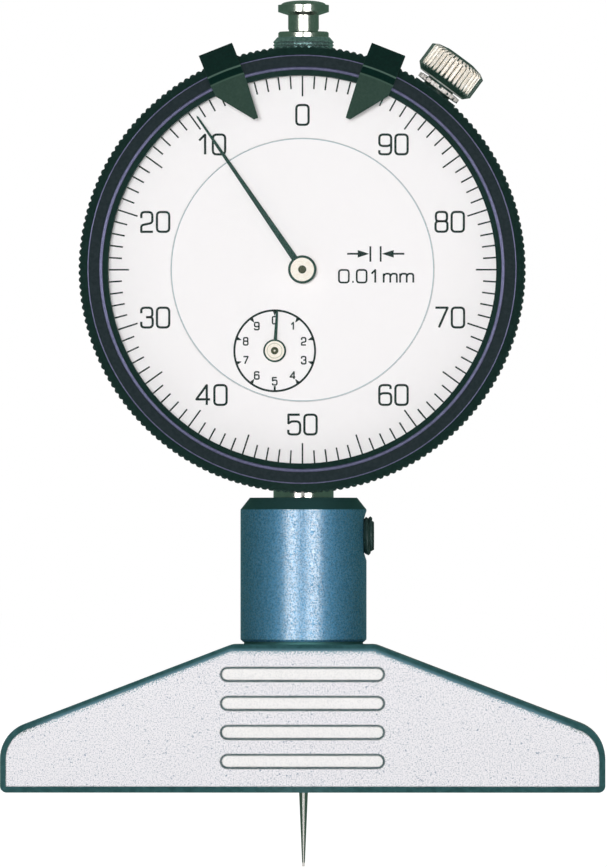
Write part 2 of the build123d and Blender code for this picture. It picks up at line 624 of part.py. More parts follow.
# Case
def case():
    body = rod_y(CASE_RADIUS, FRONT_WALL_FRONT, CASE_BACK)
    back_rim = [e for e in body.edges() if abs(e.center().Y - CASE_BACK) < PICK_TOLERANCE]
    body = body.chamfer(CASE_EDGE_CHAMFER, None, back_rim)
    body += rod_y(SEAT_RADIUS, DIAL_BACK, FRONT_WALL_FRONT)
    body += rod_z(CASE_BOSS_RADIUS, CASE_BOTTOM, DIAL_HEIGHT)
    body += rod_z(CASE_BOSS_RADIUS, DIAL_HEIGHT, CASE_TOP)
    body += on_clamp_axis(Solid.make_cylinder(CLAMP_BOSS_RADIUS, CLAMP_BOSS_TOP))
    body -= rod_y(CAVITY_RADIUS, FRONT_WALL_BACK, CAVITY_BACK)
    body -= rod_y(COVER_RADIUS + COVER_CLEARANCE, CAVITY_BACK, CASE_BACK + CUT_OVERRUN)
    for x, z in cover_screw_places():
        boss = rod_y(COVER_BOSS_RADIUS, CAVITY_BACK - COVER_BOSS_LENGTH, CAVITY_BACK, x, z)
        hole = rod_y(COVER_SCREW_RADIUS, CAVITY_BACK - COVER_SCREW_LENGTH, CAVITY_BACK, x, z)
        body = body + boss - hole
    body += rod_z(CASE_BOSS_RADIUS, CASE_BOTTOM, STEM_TOP)
    body += rod_z(CASE_BOSS_RADIUS, DIAL_HEIGHT + CAVITY_RADIUS - CASE_BOSS_REACH, CASE_TOP)
    skirt_room = BEZEL_BACK + SIDE_GAP
    body -= ring_y(CLAMP_BOSS_TOP + CUT_OVERRUN, CASE_RADIUS, DIAL_BACK - CUT_OVERRUN, skirt_room)
    body -= rod_z(STEM_RADIUS, CASE_BOTTOM - CUT_OVERRUN, DIAL_HEIGHT)
    body -= rod_z(UPPER_BUSH_RADIUS, DIAL_HEIGHT, CASE_TOP + CUT_OVERRUN)
    for x, z in arbor_places():
        body -= rod_y(JEWEL_RADIUS, FRONT_WALL_BACK - JEWEL_THICKNESS, FRONT_WALL_BACK, x, z)
    for x, z in ((0, 0), (COUNTER_X, COUNTER_Z)):
        body -= rod_y(DIAL_HOLE_RADIUS, DIAL_BACK - CUT_OVERRUN, FRONT_WALL_BACK, x, z)
    for x, z in dial_foot_places():
        body -= rod_y(DIAL_FOOT_RADIUS, DIAL_BACK - CUT_OVERRUN, DIAL_BACK + DIAL_FOOT_LENGTH, x, z)
    snap = FRONT_WALL_FRONT + SNAP_RING_SET_BACK
    groove = SNAP_WIRE_RADIUS + BEZEL_CLEARANCE
    body -= ring_y(CASE_RADIUS + CUT_OVERRUN, SNAP_RING_RADIUS - groove, snap - groove, snap + groove)
    hole = SHOE_RADIUS + SHOE_CLEARANCE
    x, z = shoe_place()
    body -= rod_y(hole, BEZEL_BACK, CLAMP_Y, x, z)
    screw_hole = CLAMP_SCREW_RADIUS + SCREW_CLEARANCE
    plane = Plane(origin=(0, 0, CLAMP_HOLE_FLOOR))
    body -= on_clamp_axis(Solid.make_cylinder(screw_hole, CLAMP_BOSS_TOP, plane))
    return only(body)


def cover_screw_places():
    circle = COVER_SCREW_CIRCLE
    step = 360 / COVER_SCREW_COUNT
    return [polar(circle, COVER_SCREW_ANGLE + index * step) for index in range(COVER_SCREW_COUNT)]


def arbor_places():
    return [(0, 0), (COUNTER_X, COUNTER_Z), (TAKE_UP_X, TAKE_UP_Z)]


def dial_foot_places():
    circle = DIAL_FOOT_CIRCLE
    return [polar(circle, angle) for angle in DIAL_FOOT_ANGLES]


def shoe_place():
    circle = SHOE_CIRCLE
    return polar(circle, 90 - CLAMP_ANGLE)


def back_cover():
    body = rod_y(COVER_RADIUS, COVER_FRONT, CASE_BACK)
    for x, z in cover_screw_places():
        body -= rod_y(COVER_SCREW_RADIUS, COVER_FRONT - CUT_OVERRUN, CASE_BACK, x, z)
        body -= cover_screw_head(x, z)
    return only(body)


def cover_screw_head(x, z):
    plane = Plane(origin=(x, CASE_BACK - COVER_HEAD_HEIGHT, DIAL_HEIGHT + z), z_dir=(0, 1, 0))
    return Solid.make_cone(COVER_SCREW_RADIUS, COVER_HEAD_RADIUS, COVER_HEAD_HEIGHT, plane)


def back_cover_gasket():
    body = ring_y(COVER_RADIUS, COVER_RADIUS - GASKET_WIDTH, CAVITY_BACK, COVER_FRONT)
    for x, z in cover_screw_places():
        body -= rod_y(COVER_SCREW_RADIUS, CAVITY_BACK - CUT_OVERRUN, CASE_BACK, x, z)
    return only(body)


def slotted(body, radius, top, x, z):
    """Cuts a screwdriver slot across a head that faces the back."""
    low = DIAL_HEIGHT + z - SLOT_WIDTH / 2
    high = low + SLOT_WIDTH
    return body - block(x - radius, x + radius, top - SLOT_DEPTH, top + CUT_OVERRUN, low, high)


def back_cover_screws():
    screws = []
    for x, z in cover_screw_places():
        tip = CAVITY_BACK - COVER_SCREW_LENGTH
        shank = rod_y(COVER_SCREW_RADIUS, tip, CASE_BACK - COVER_HEAD_HEIGHT, x, z)
        screw = shank + cover_screw_head(x, z)
        screws.append(only(slotted(screw, COVER_HEAD_RADIUS, CASE_BACK, x, z)))
    return joined(screws)


def stem():
    bore = rod_z(STEM_RADIUS - STEM_WALL, STEM_FOOT - CUT_OVERRUN, STEM_TOP + CUT_OVERRUN)
    return only(rod_z(STEM_RADIUS, STEM_FOOT, STEM_TOP) - bore)


def stem_bush():
    """The plain bearing in the foot of the stem."""
    top = STEM_FOOT + STEM_BUSH_LENGTH
    hole = rod_z(SPINDLE_RADIUS + BUSH_CLEARANCE, STEM_FOOT - CUT_OVERRUN, top + CUT_OVERRUN)
    return only(rod_z(STEM_RADIUS - STEM_WALL, STEM_FOOT, top) - hole)


def upper_bush():
    """The bush that is screwed into the top of the case, with its thread showing above the boss."""
    foot = DIAL_HEIGHT + CAVITY_RADIUS - CASE_BOSS_REACH
    bore = SPINDLE_RADIUS + BUSH_CLEARANCE
    thread = grooved(
        CASE_TOP, UPPER_BUSH_TOP, UPPER_BUSH_RADIUS, UPPER_BUSH_THREAD_PITCH, UPPER_BUSH_THREAD_DEPTH,
    )
    rim = [(UPPER_BUSH_RADIUS - UPPER_BUSH_THREAD_DEPTH, UPPER_BUSH_TOP), (bore, UPPER_BUSH_TOP)]
    shank = [(bore, foot), (UPPER_BUSH_RADIUS, foot), (UPPER_BUSH_RADIUS, CASE_TOP)]
    chamfered = turned_z([
        (0, foot), (UPPER_BUSH_RADIUS, foot),
        (UPPER_BUSH_RADIUS, UPPER_BUSH_TOP - UPPER_BUSH_CHAMFER_HEIGHT),
        (UPPER_BUSH_RADIUS - UPPER_BUSH_CHAMFER_WIDTH, UPPER_BUSH_TOP), (0, UPPER_BUSH_TOP),
    ])
    return only(turned_z(shank + thread + rim) & chamfered)


# Movement
def movement_outline():
    """Corners of the back plate, round its pillars, arbors and spring anchor."""
    left, low = PILLAR_PLACES[2]
    right, high = PILLAR_PLACES[1]
    margin = PLATE_MARGIN
    crown = GUIDE_PIN_RISE + STROKE + PLATE_SLOT_MARGIN
    side = TAKE_UP_X + PLATE_TAKE_UP_MARGIN
    return [
        (-right - margin, high + margin), (-GUIDE_PIN_SEAT, crown), (GUIDE_PIN_SEAT, crown),
        (right + margin, high + margin), (right + margin, high - margin),
        (side, TAKE_UP_Z + margin), (side, TAKE_UP_Z - margin),
        (SPRING_X + margin, -SPRING_ANCHOR_DROP - margin),
        (left + margin, low - margin), (left - margin, low - margin), (left - margin, low + margin),
        (-right - margin, high - margin),
    ]


def movement_plate():
    body = plate_xz(movement_outline(), PLATE_FRONT, PLATE_BACK)
    for x, z in PILLAR_PLACES:
        body -= rod_y(PLATE_SCREW_RADIUS, PLATE_FRONT - CUT_OVERRUN, PLATE_BACK + CUT_OVERRUN, x, z)
    for x, z in ((COUNTER_X, COUNTER_Z), (TAKE_UP_X, TAKE_UP_Z)):
        body -= rod_y(JEWEL_RADIUS, PLATE_FRONT - CUT_OVERRUN, PLATE_BACK + CUT_OVERRUN, x, z)
    half = GUIDE_PIN_RADIUS + SLOT_CLEARANCE
    low = DIAL_HEIGHT + GUIDE_PIN_RISE
    body -= block(-half, half, PLATE_FRONT - CUT_OVERRUN, PLATE_BACK + CUT_OVERRUN, low, low + STROKE)
    for rise in (GUIDE_PIN_RISE, GUIDE_PIN_RISE + STROKE):
        body -= rod_y(half, PLATE_FRONT - CUT_OVERRUN, PLATE_BACK + CUT_OVERRUN, 0, rise)
    for x, z in (stud_place(), anchor_place()):
        body -= rod_y(STUD_RADIUS, PLATE_FRONT - CUT_OVERRUN, PLATE_BACK + CUT_OVERRUN, x, z)
    return only(body)


def pillars(places, radius, front, back, hole_radius, hole_length):
    return joined([
        only(rod_y(radius, front, back, x, z) - rod_y(hole_radius, back - hole_length, back, x, z))
        for x, z in places
    ])


def screws(places, seat, radius, length, head_radius, head_height):
    """Slotted screws whose heads stand on a plate's back."""
    made = []
    for x, z in places:
        shank = rod_y(radius, seat - length, seat, x, z)
        head = rod_y(head_radius, seat, seat + head_height, x, z)
        made.append(only(slotted(shank + head, head_radius, seat + head_height, x, z)))
    return joined(made)


def movement_pillars():
    hole = PLATE_SCREW_LENGTH - PLATE_THICKNESS
    return pillars(
        PILLAR_PLACES, PILLAR_RADIUS, FRONT_WALL_BACK, PLATE_FRONT, PLATE_SCREW_RADIUS, hole,
    )


def movement_screws():
    return screws(
        PILLAR_PLACES, PLATE_BACK, PLATE_SCREW_RADIUS, PLATE_SCREW_LENGTH,
        PLATE_SCREW_HEAD_RADIUS, PLATE_SCREW_HEAD_HEIGHT,
    )


def bridge_places():
    return [(-BRIDGE_HALF_SPAN, BRIDGE_RISE), (BRIDGE_HALF_SPAN, BRIDGE_RISE)]


def centre_bridge():
    """The strap that carries the back pivot of the centre arbor, in front of the spindle."""
    end = BRIDGE_HALF_SPAN + BRIDGE_MARGIN
    low, high = -BRIDGE_MARGIN, BRIDGE_RISE + BRIDGE_MARGIN
    body = plate_xz([(-end, low), (end, low), (end, high), (-end, high)], BRIDGE_FRONT, BRIDGE_BACK)
    for x, z in bridge_places():
        body -= rod_y(BRIDGE_SCREW_RADIUS, BRIDGE_FRONT - CUT_OVERRUN, BRIDGE_BACK + CUT_OVERRUN, x, z)
    return only(body - rod_y(JEWEL_RADIUS, BRIDGE_FRONT - CUT_OVERRUN, BRIDGE_BACK + CUT_OVERRUN))


def bridge_pillars():
    hole = BRIDGE_SCREW_LENGTH - BRIDGE_THICKNESS
    return pillars(
        bridge_places(), BRIDGE_PILLAR_RADIUS, FRONT_WALL_BACK, BRIDGE_FRONT, BRIDGE_SCREW_RADIUS, hole,
    )


def bridge_screws():
    return screws(
        bridge_places(), BRIDGE_BACK, BRIDGE_SCREW_RADIUS, BRIDGE_SCREW_LENGTH,
        BRIDGE_SCREW_HEAD_RADIUS, BRIDGE_SCREW_HEAD_HEIGHT,
    )


def bearing_jewels():
    """Pierced jewels: three in the front wall, one in the bridge, two in the back plate."""
    bore = PIVOT_RADIUS + PIVOT_CLEARANCE
    back = FRONT_WALL_BACK
    front = back - JEWEL_THICKNESS
    jewels = [ring_y(JEWEL_RADIUS, bore, front, back, x, z) for x, z in arbor_places()]
    jewels.append(ring_y(JEWEL_RADIUS, bore, BRIDGE_FRONT, BRIDGE_FRONT + JEWEL_THICKNESS))
    for x, z in arbor_places()[1:]:
        jewels.append(ring_y(JEWEL_RADIUS, bore, PLATE_FRONT, PLATE_FRONT + JEWEL_THICKNESS, x, z))
    return joined([only(jewel) for jewel in jewels])


def stud_place():
    spiral = COLLET_RADIUS + SEAT_GAP + HAIRSPRING_PITCH * HAIRSPRING_TURNS + HAIRSPRING_STRIP
    return TAKE_UP_X + spiral + STUD_RADIUS, TAKE_UP_Z


def anchor_place():
    return SPRING_X, -SPRING_ANCHOR_DROP


def hairspring_stud():
    x, z = stud_place()
    return rod_y(STUD_RADIUS, hairspring_front(), PLATE_BACK, x, z)


def spring_anchor():
    x, z = anchor_place()
    return rod_y(STUD_RADIUS, -SPRING_RADIUS, PLATE_BACK, x, z)


def hairspring_front():
    return FIRST_WHEEL_BACK + WHEEL_GAP


def hairspring():
    """A flat strip wound in a spiral round the take-up arbor, held at its outer end by the stud."""
    start = COLLET_RADIUS + SEAT_GAP
    count = HAIRSPRING_TURNS * HAIRSPRING_STEPS
    inner, outer = [], []
    for index in range(count + 1):
        turn = index / HAIRSPRING_STEPS
        radius = start + HAIRSPRING_PITCH * turn
        for points, reach in ((inner, radius), (outer, radius + HAIRSPRING_STRIP)):
            x, z = polar(reach, 360 * turn)
            points.append((TAKE_UP_X + x, TAKE_UP_Z + z))
    front = hairspring_front()
    return plate_xz(inner + outer[::-1], front, front + HAIRSPRING_WIDTH)


# Spindle and what it carries
def rack_gap(height):
    """The space between two rack teeth, widening towards the outside."""
    lean = math.tan(math.radians(PRESSURE_ANGLE))
    half = RACK_PITCH * (1 - RACK_TOOTH_SHARE) / 2
    outside = -RACK_LINE - RACK_ADDENDUM - RACK_DEDENDUM
    root = -RACK_LINE + RACK_DEDENDUM
    wide = half + (RACK_ADDENDUM + RACK_DEDENDUM) * lean
    narrow = half - RACK_DEDENDUM * lean
    z = height - DIAL_HEIGHT
    outline = [(outside, z - wide), (root, z - narrow), (root, z + narrow), (outside, z + wide)]
    return plate_xz(outline, -SPINDLE_RADIUS, SPINDLE_RADIUS)


def spindle():
    """The measuring rod, with the rack cut into its left side."""
    knob_seat = UPPER_BUSH_TOP
    body = rod_z(SPINDLE_RADIUS, SPINDLE_FOOT, knob_seat)
    body += rod_z(SPINDLE_TIP_RADIUS, knob_seat, knob_seat + KNOB_FLANGE_HEIGHT + KNOB_NECK_HEIGHT)
    body -= rod_z(THREAD_RADIUS, SPINDLE_FOOT - CUT_OVERRUN, SPINDLE_FOOT + THREAD_LENGTH)
    mesh = DIAL_HEIGHT + COUNTER_Z
    below = math.ceil((STROKE + RACK_RUNOUT) / RACK_PITCH)
    above = math.ceil(RACK_RUNOUT / RACK_PITCH)
    low, high = mesh - (below + 1) * RACK_PITCH, mesh + (above + 1) * RACK_PITCH
    face = -RACK_LINE - RACK_ADDENDUM
    body -= block(face - CUT_OVERRUN, face, -SPINDLE_RADIUS, SPINDLE_RADIUS, low, high)
    for index in range(-below, above + 1):
        body -= rack_gap(mesh + index * RACK_PITCH)
    seat = SPINDLE_RADIUS - GUIDE_PIN_SEAT
    body -= rod_y(GUIDE_PIN_RADIUS, seat, SPINDLE_RADIUS, 0, GUIDE_PIN_RISE)
    seat = SPINDLE_RADIUS - SPRING_PIN_SEAT
    body -= rod_x(SPRING_PIN_RADIUS, seat, SPINDLE_RADIUS, 0, DIAL_HEIGHT + SPRING_PIN_RISE)
    return only(body)


def guide_pin():
    """The pin that runs in the back plate's slot and keeps the spindle from turning."""
    seat = SPINDLE_RADIUS - GUIDE_PIN_SEAT
    return rod_y(GUIDE_PIN_RADIUS, seat, PLATE_BACK + GUIDE_PIN_PROUD, 0, GUIDE_PIN_RISE)


def spring_pin():
    seat = SPINDLE_RADIUS - SPRING_PIN_SEAT
    return rod_x(SPRING_PIN_RADIUS, seat, SPRING_X_END, 0, DIAL_HEIGHT + SPRING_PIN_RISE)


def spindle_spring():
    """The return spring: a wound body with a loop round each of its two posts."""
    top = DIAL_HEIGHT + SPRING_PIN_RISE
    foot = DIAL_HEIGHT - SPRING_ANCHOR_DROP
    reach = SPRING_LOOP_RADIUS + SPRING_WIRE - SPRING_LOOP_GAP
    body = rod_z(SPRING_RADIUS, foot + reach, top - reach, SPRING_X)
    body -= rod_z(SPRING_BORE_RADIUS, foot, top, SPRING_X)
    for height, direction in ((top, (1, 0, 0)), (foot, (0, 1, 0))):
        plane = Plane(origin=(SPRING_X, 0, height), z_dir=direction)
        body += Solid.make_torus(SPRING_LOOP_RADIUS, SPRING_WIRE, plane)
    return only(body)


def contact_point():
    """The screwed-in needle: thread, shank, cone and a slender tapered point."""
    shank_foot = SPINDLE_FOOT - SHANK_LENGTH
    cone_foot = shank_foot - SHANK_CONE
    return turned_z([
        (0, -NEEDLE_REACH), (NEEDLE_TIP_RADIUS, -NEEDLE_REACH),
        (NEEDLE_RADIUS, cone_foot - NEEDLE_STRAIGHT), (NEEDLE_RADIUS, cone_foot),
        (SHANK_RADIUS, shank_foot), (SHANK_RADIUS, SPINDLE_FOOT),
        (THREAD_RADIUS, SPINDLE_FOOT), (THREAD_RADIUS, SPINDLE_FOOT + THREAD_LENGTH),
        (0, SPINDLE_FOOT + THREAD_LENGTH),
    ])


def lifting_knob():
    """Flange that rests on the bush, waist, neck and a domed mushroom head."""
    seat = UPPER_BUSH_TOP
    flange = seat + KNOB_FLANGE_HEIGHT
    neck = flange + KNOB_WAIST_HEIGHT
    head = neck + KNOB_NECK_HEIGHT
    rim = head + KNOB_UNDERSIDE_HEIGHT
    bevel = rim + KNOB_RIM_HEIGHT
    dome_foot = bevel + KNOB_BEVEL_HEIGHT
    dome_radius = KNOB_HEAD_RADIUS - KNOB_BEVEL_WIDTH
    dome = []
    for step in range(KNOB_DOME_STEPS):
        across, up = polar(1, 90 * step / KNOB_DOME_STEPS)
        dome.append((dome_radius * across, dome_foot + KNOB_DOME_HEIGHT * up))
    top = dome_foot + KNOB_DOME_HEIGHT
    thread_top = seat + KNOB_FLANGE_HEIGHT + KNOB_NECK_HEIGHT
    return turned_z([
        (SPINDLE_TIP_RADIUS, seat), (KNOB_FLANGE_RADIUS, seat),
        (KNOB_FLANGE_RADIUS, flange - KNOB_FLANGE_CHAMFER),
        (KNOB_FLANGE_RADIUS - KNOB_FLANGE_CHAMFER, flange),
        (KNOB_WAIST_RADIUS, flange), (KNOB_WAIST_RADIUS, neck), (KNOB_NECK_RADIUS, neck),
        (KNOB_NECK_RADIUS, head), (KNOB_HEAD_RADIUS, rim), (KNOB_HEAD_RADIUS, bevel),
        *dome, (0, top), (0, thread_top), (SPINDLE_TIP_RADIUS, thread_top),
    ])


# Arbors, wheels and pointers
def rack_pinion():
    """The counter arbor with its pinion, turned from one bar."""
    x, z = COUNTER_X, COUNTER_Z
    half = PINION_LENGTH / 2
    jewel = PLATE_FRONT + JEWEL_THICKNESS
    wheel_seat = FIRST_WHEEL_FRONT - SEAT_GAP
    hub_front = DIAL_FACE - COUNTER_HUB_LIFT - COUNTER_HUB_LENGTH
    body = plate_xz(rack_pinion_outline(), -half, half)
    body += rod_y(ARBOR_RADIUS, wheel_seat, PLATE_FRONT - SEAT_GAP, x, z)
    body += rod_y(PIVOT_RADIUS, wheel_seat, jewel, x, z)
    return only(body + rod_y(PIVOT_RADIUS, hub_front, wheel_seat, x, z))


def toothed_wheel(phase, centre, front):
    """A hundred-tooth wheel with its hub behind it and round holes through its web."""
    x, z = centre
    back = front + WHEEL_THICKNESS
    body = plate_xz(wheel_outline(phase, centre), front, back)
    body += rod_y(WHEEL_HUB_RADIUS, front, front + WHEEL_HUB_LENGTH, x, z)
    body -= rod_y(ARBOR_RADIUS, front - CUT_OVERRUN, back + CUT_OVERRUN, x, z)
    circle = WHEEL_HOLE_CIRCLE
    for index in range(WHEEL_HOLE_COUNT):
        dx, dz = polar(circle, phase + index * 360 / WHEEL_HOLE_COUNT)
        body -= rod_y(WHEEL_HOLE_RADIUS, front - CUT_OVERRUN, back + CUT_OVERRUN, x + dx, z + dz)
    return only(body)


def first_wheel():
    return toothed_wheel(MESH_ANGLE, (COUNTER_X, COUNTER_Z), FIRST_WHEEL_FRONT)


def take_up_wheel():
    return toothed_wheel(TAKE_UP_PHASE, (TAKE_UP_X, TAKE_UP_Z), TAKE_UP_WHEEL_FRONT)


def take_up_arbor():
    x, z = TAKE_UP_X, TAKE_UP_Z
    body = rod_y(ARBOR_RADIUS, TAKE_UP_WHEEL_FRONT - SEAT_GAP, PLATE_FRONT - SEAT_GAP, x, z)
    front = FRONT_WALL_BACK - JEWEL_THICKNESS
    back = PLATE_FRONT + JEWEL_THICKNESS
    return only(body + rod_y(PIVOT_RADIUS, front, back, x, z))


def hairspring_collet():
    front = hairspring_front()
    back = front + COLLET_LENGTH
    return only(ring_y(COLLET_RADIUS, ARBOR_RADIUS, front, back, TAKE_UP_X, TAKE_UP_Z))


def centre_pinion():
    """The centre arbor with its ten leaves."""
    front = FRONT_WALL_BACK + SEAT_GAP
    back = BRIDGE_FRONT - SEAT_GAP
    hub_front = DIAL_FACE - MAIN_HUB_LIFT - MAIN_HUB_LENGTH
    body = plate_xz(leaf_outline(), front, back)
    return only(body + rod_y(PIVOT_RADIUS, hub_front, BRIDGE_FRONT + JEWEL_THICKNESS))


def hub(radius, length, lift, x, z):
    """A pointer hub with a bevelled front rim, bored for its arbor."""
    back = DIAL_FACE - lift
    front = back - length
    body = rod_y(radius, front, back, x, z)
    rim = [e for e in body.edges() if abs(e.center().Y - front) < PICK_TOLERANCE]
    body = body.chamfer(HUB_EDGE_CHAMFER, None, rim)
    body -= rod_y(PIVOT_RADIUS, front - CUT_OVERRUN, back + CUT_OVERRUN, x, z)
    return only(body)


def pointer(length, width, tip, lift, angle, hub_radius, x, z):
    """A straight tapering blade, cut round its hub."""
    back = DIAL_FACE - lift - POINTER_SEAT
    shoulder = length - tip
    outline = [
        (-width / 2, 0), (width / 2, 0), (tip / 2, shoulder), (0, length), (-tip / 2, shoulder),
    ]
    blade = plate_xz(outline, back - POINTER_THICKNESS, back)
    blade = turned_to(blade, angle).moved(Pos(x, 0, z))
    return only(blade - rod_y(hub_radius, back - CUT_OVERRUN, back + CUT_OVERRUN, x, z))


def counter_hub():
    return hub(COUNTER_HUB_RADIUS, COUNTER_HUB_LENGTH, COUNTER_HUB_LIFT, COUNTER_X, COUNTER_Z)


def main_hub():
    return hub(MAIN_HUB_RADIUS, MAIN_HUB_LENGTH, MAIN_HUB_LIFT, 0, 0)


def counter_pointer():
    return pointer(
        COUNTER_POINTER_LENGTH, COUNTER_POINTER_WIDTH, COUNTER_POINTER_TIP, COUNTER_HUB_LIFT,
        COUNTER_POINTER_ANGLE, COUNTER_HUB_RADIUS, COUNTER_X, COUNTER_Z,
    )


def main_pointer():
    return pointer(
        MAIN_POINTER_LENGTH, MAIN_POINTER_WIDTH, MAIN_POINTER_TIP, MAIN_HUB_LIFT,
        MAIN_POINTER_ANGLE, MAIN_HUB_RADIUS, 0, 0,
    )


# Dial
def dial_centre():
    """The fixed disc in the middle of the dial, on two feet."""
    body = rod_y(DIAL_SEAM_RADIUS - DIAL_SEAM_GAP, DIAL_FACE, DIAL_BACK)
    for x, z in ((0, 0), (COUNTER_X, COUNTER_Z)):
        body -= rod_y(DIAL_HOLE_RADIUS, DIAL_FACE - CUT_OVERRUN, DIAL_BACK + CUT_OVERRUN, x, z)
    return only(body)


def dial_feet():
    return joined([
        rod_y(DIAL_FOOT_RADIUS, DIAL_BACK, DIAL_BACK + DIAL_FOOT_LENGTH, x, z)
        for x, z in dial_foot_places()
    ])


def dial_ring():
    return only(ring_y(DIAL_RING_RADIUS, DIAL_SEAM_RADIUS, DIAL_FACE, DIAL_BACK))


def dial_friction_spring():
    """A flat ring on the front wall with three bent fingers that press on the dial ring."""
    back = FRONT_WALL_FRONT
    sheet = FRICTION_SPRING_THICKNESS
    body = ring_y(FRICTION_SPRING_OUTER, FRICTION_SPRING_INNER, back - sheet, back)
    top = DIAL_BACK + SEAT_GAP
    run = FRICTION_FINGER_LENGTH - FRICTION_FINGER_FLAT
    middle = DIAL_HEIGHT + (FRICTION_SPRING_INNER + FRICTION_SPRING_OUTER) / 2
    half = FRICTION_SPRING_WIDTH * FRICTION_FINGER_WIDTH_SHARE / 2
    side = [
        (0, back - sheet), (run, top), (FRICTION_FINGER_LENGTH, top),
        (FRICTION_FINGER_LENGTH, top + sheet), (run, top + sheet), (sheet, back),
    ]
    face = closed_face([(x, y, middle - half) for x, y in side])
    finger = Solid.extrude(face, Vector(0, 0, 2 * half))
    for index in range(FRICTION_FINGER_COUNT):
        body += turned_to(finger, index * 360 / FRICTION_FINGER_COUNT)
    return only(body)


# Bezel
def knurl_band(front, back, root):
    """A ring of straight knurls between two depths, standing on a root radius."""
    step = 360 / KNURL_COUNT
    valley = BEZEL_RADIUS - KNURL_DEPTH / 2
    peak = BEZEL_RADIUS + KNURL_DEPTH / 2
    outline = []
    for index in range(KNURL_COUNT):
        outline.append(polar(valley, index * step))
        outline.append(polar(peak, (index + (1 - KNURL_TIP_SHARE) / 2) * step))
        outline.append(polar(peak, (index + (1 + KNURL_TIP_SHARE) / 2) * step))
    return plate_xz(outline, front, back) - rod_y(root, front - CUT_OVERRUN, back + CUT_OVERRUN)


def bezel():
    """A turned ring: sloping front, crystal seat, rib over the dial, skirt round the case."""
    opening = BEZEL_OPENING_RADIUS
    seat = CRYSTAL_RADIUS + CRYSTAL_GASKET_WIDTH + GASKET_CLEARANCE
    skirt = CASE_RADIUS + BEZEL_CLEARANCE
    groove_front = BEZEL_FRONT + GROOVE_START
    groove_back = groove_front + GROOVE_WIDTH
    valley = BEZEL_RADIUS - KNURL_DEPTH / 2
    snap = FRONT_WALL_FRONT + SNAP_RING_SET_BACK
    snap_groove = SNAP_RING_RADIUS + SNAP_WIRE_RADIUS
    body = turned_y([
        (opening, CRYSTAL_BACK), (seat, CRYSTAL_BACK), (seat, CRYSTAL_FRONT), (opening, CRYSTAL_FRONT),
        (opening, BEZEL_FRONT + BEZEL_LIP_DROP), (BEZEL_INNER_EDGE_RADIUS, BEZEL_FRONT),
        (BEZEL_OUTER_EDGE_RADIUS, BEZEL_FRONT), (valley, BEZEL_FRONT + BEZEL_SHOULDER_DROP),
        (valley, groove_front), (GROOVE_RADIUS, groove_front), (GROOVE_RADIUS, groove_back),
        (valley, groove_back), (valley, BEZEL_BACK), (skirt, BEZEL_BACK),
        (skirt, snap + SNAP_WIRE_RADIUS), (snap_groove, snap + SNAP_WIRE_RADIUS),
        (snap_groove, snap - SNAP_WIRE_RADIUS), (skirt, snap - SNAP_WIRE_RADIUS),
        (skirt, DIAL_FACE), (opening, DIAL_FACE),
    ])
    root = (GROOVE_RADIUS + skirt) / 2
    front_band = knurl_band(BEZEL_FRONT + BEZEL_SHOULDER_DROP, groove_front, root)
    back_band = knurl_band(groove_back, BEZEL_BACK, root)
    return only(body + front_band + back_band)


def crystal():
    return rod_y(CRYSTAL_RADIUS, CRYSTAL_FRONT, CRYSTAL_BACK)


def crystal_gasket():
    outer = CRYSTAL_RADIUS + CRYSTAL_GASKET_WIDTH
    return only(ring_y(outer, CRYSTAL_RADIUS, CRYSTAL_FRONT, CRYSTAL_BACK))


def bezel_snap_ring():
    """A wire ring, open on one side, half in the bezel and half in the case's groove."""
    plane = Plane(origin=(0, FRONT_WALL_FRONT + SNAP_RING_SET_BACK, DIAL_HEIGHT), z_dir=(0, 1, 0))
    ring = Solid.make_torus(SNAP_RING_RADIUS, SNAP_WIRE_RADIUS, plane, 0, 360, 360 - SNAP_RING_OPENING)
    return only(ring)


# Limit markers
def marker(side):
    """A bent sheet clip: hook over the bezel's rim, step down over its face and a pointed flap."""
    half = MARKER_WIDTH / 2
    flap_back = BEZEL_FRONT - SEAT_GAP
    flap_front = flap_back - MARKER_SHEET
    top_back = flap_back - MARKER_STEP
    top_front = flap_front - MARKER_STEP
    lip_front = BEZEL_FRONT + GROOVE_START + SLOT_CLEARANCE
    lip_back = lip_front + MARKER_SHEET
    lip_foot = GROOVE_RADIUS + MARKER_HOOK_GAP
    web = MARKER_TOP - MARKER_SHEET
    profile = [
        (flap_back, MARKER_TIP_RADIUS - CUT_OVERRUN), (flap_front, MARKER_TIP_RADIUS - CUT_OVERRUN),
        (flap_front, MARKER_FOLD_INNER), (top_front, MARKER_FOLD_OUTER), (top_front, MARKER_TOP),
        (lip_back, MARKER_TOP), (lip_back, lip_foot), (lip_front, lip_foot), (lip_front, web),
        (top_back, web), (top_back, MARKER_FOLD_OUTER), (flap_back, MARKER_FOLD_INNER),
    ]
    face = closed_face([(-half, y, DIAL_HEIGHT + z) for y, z in profile])
    sheet = Solid.extrude(face, Vector(2 * half, 0, 0))
    tip = MARKER_TIP_OFFSET
    outline = [
        (-half, MARKER_TOP + CUT_OVERRUN), (-half, MARKER_FOLD_INNER),
        (-MARKER_OUTER_HEEL, MARKER_HEEL_RADIUS), (tip, MARKER_TIP_RADIUS),
        (tip + MARKER_TIP_WIDTH, MARKER_TIP_RADIUS), (MARKER_INNER_HEEL, MARKER_HEEL_RADIUS),
        (half, MARKER_FOLD_INNER), (half, MARKER_TOP + CUT_OVERRUN),
    ]
    mirrored = [(-side * x, z) for x, z in outline]
    cutter = plate_xz(mirrored, top_front - CUT_OVERRUN, lip_back + CUT_OVERRUN)
    return turned_to(only(sheet & cutter), side * MARKER_ANGLE)


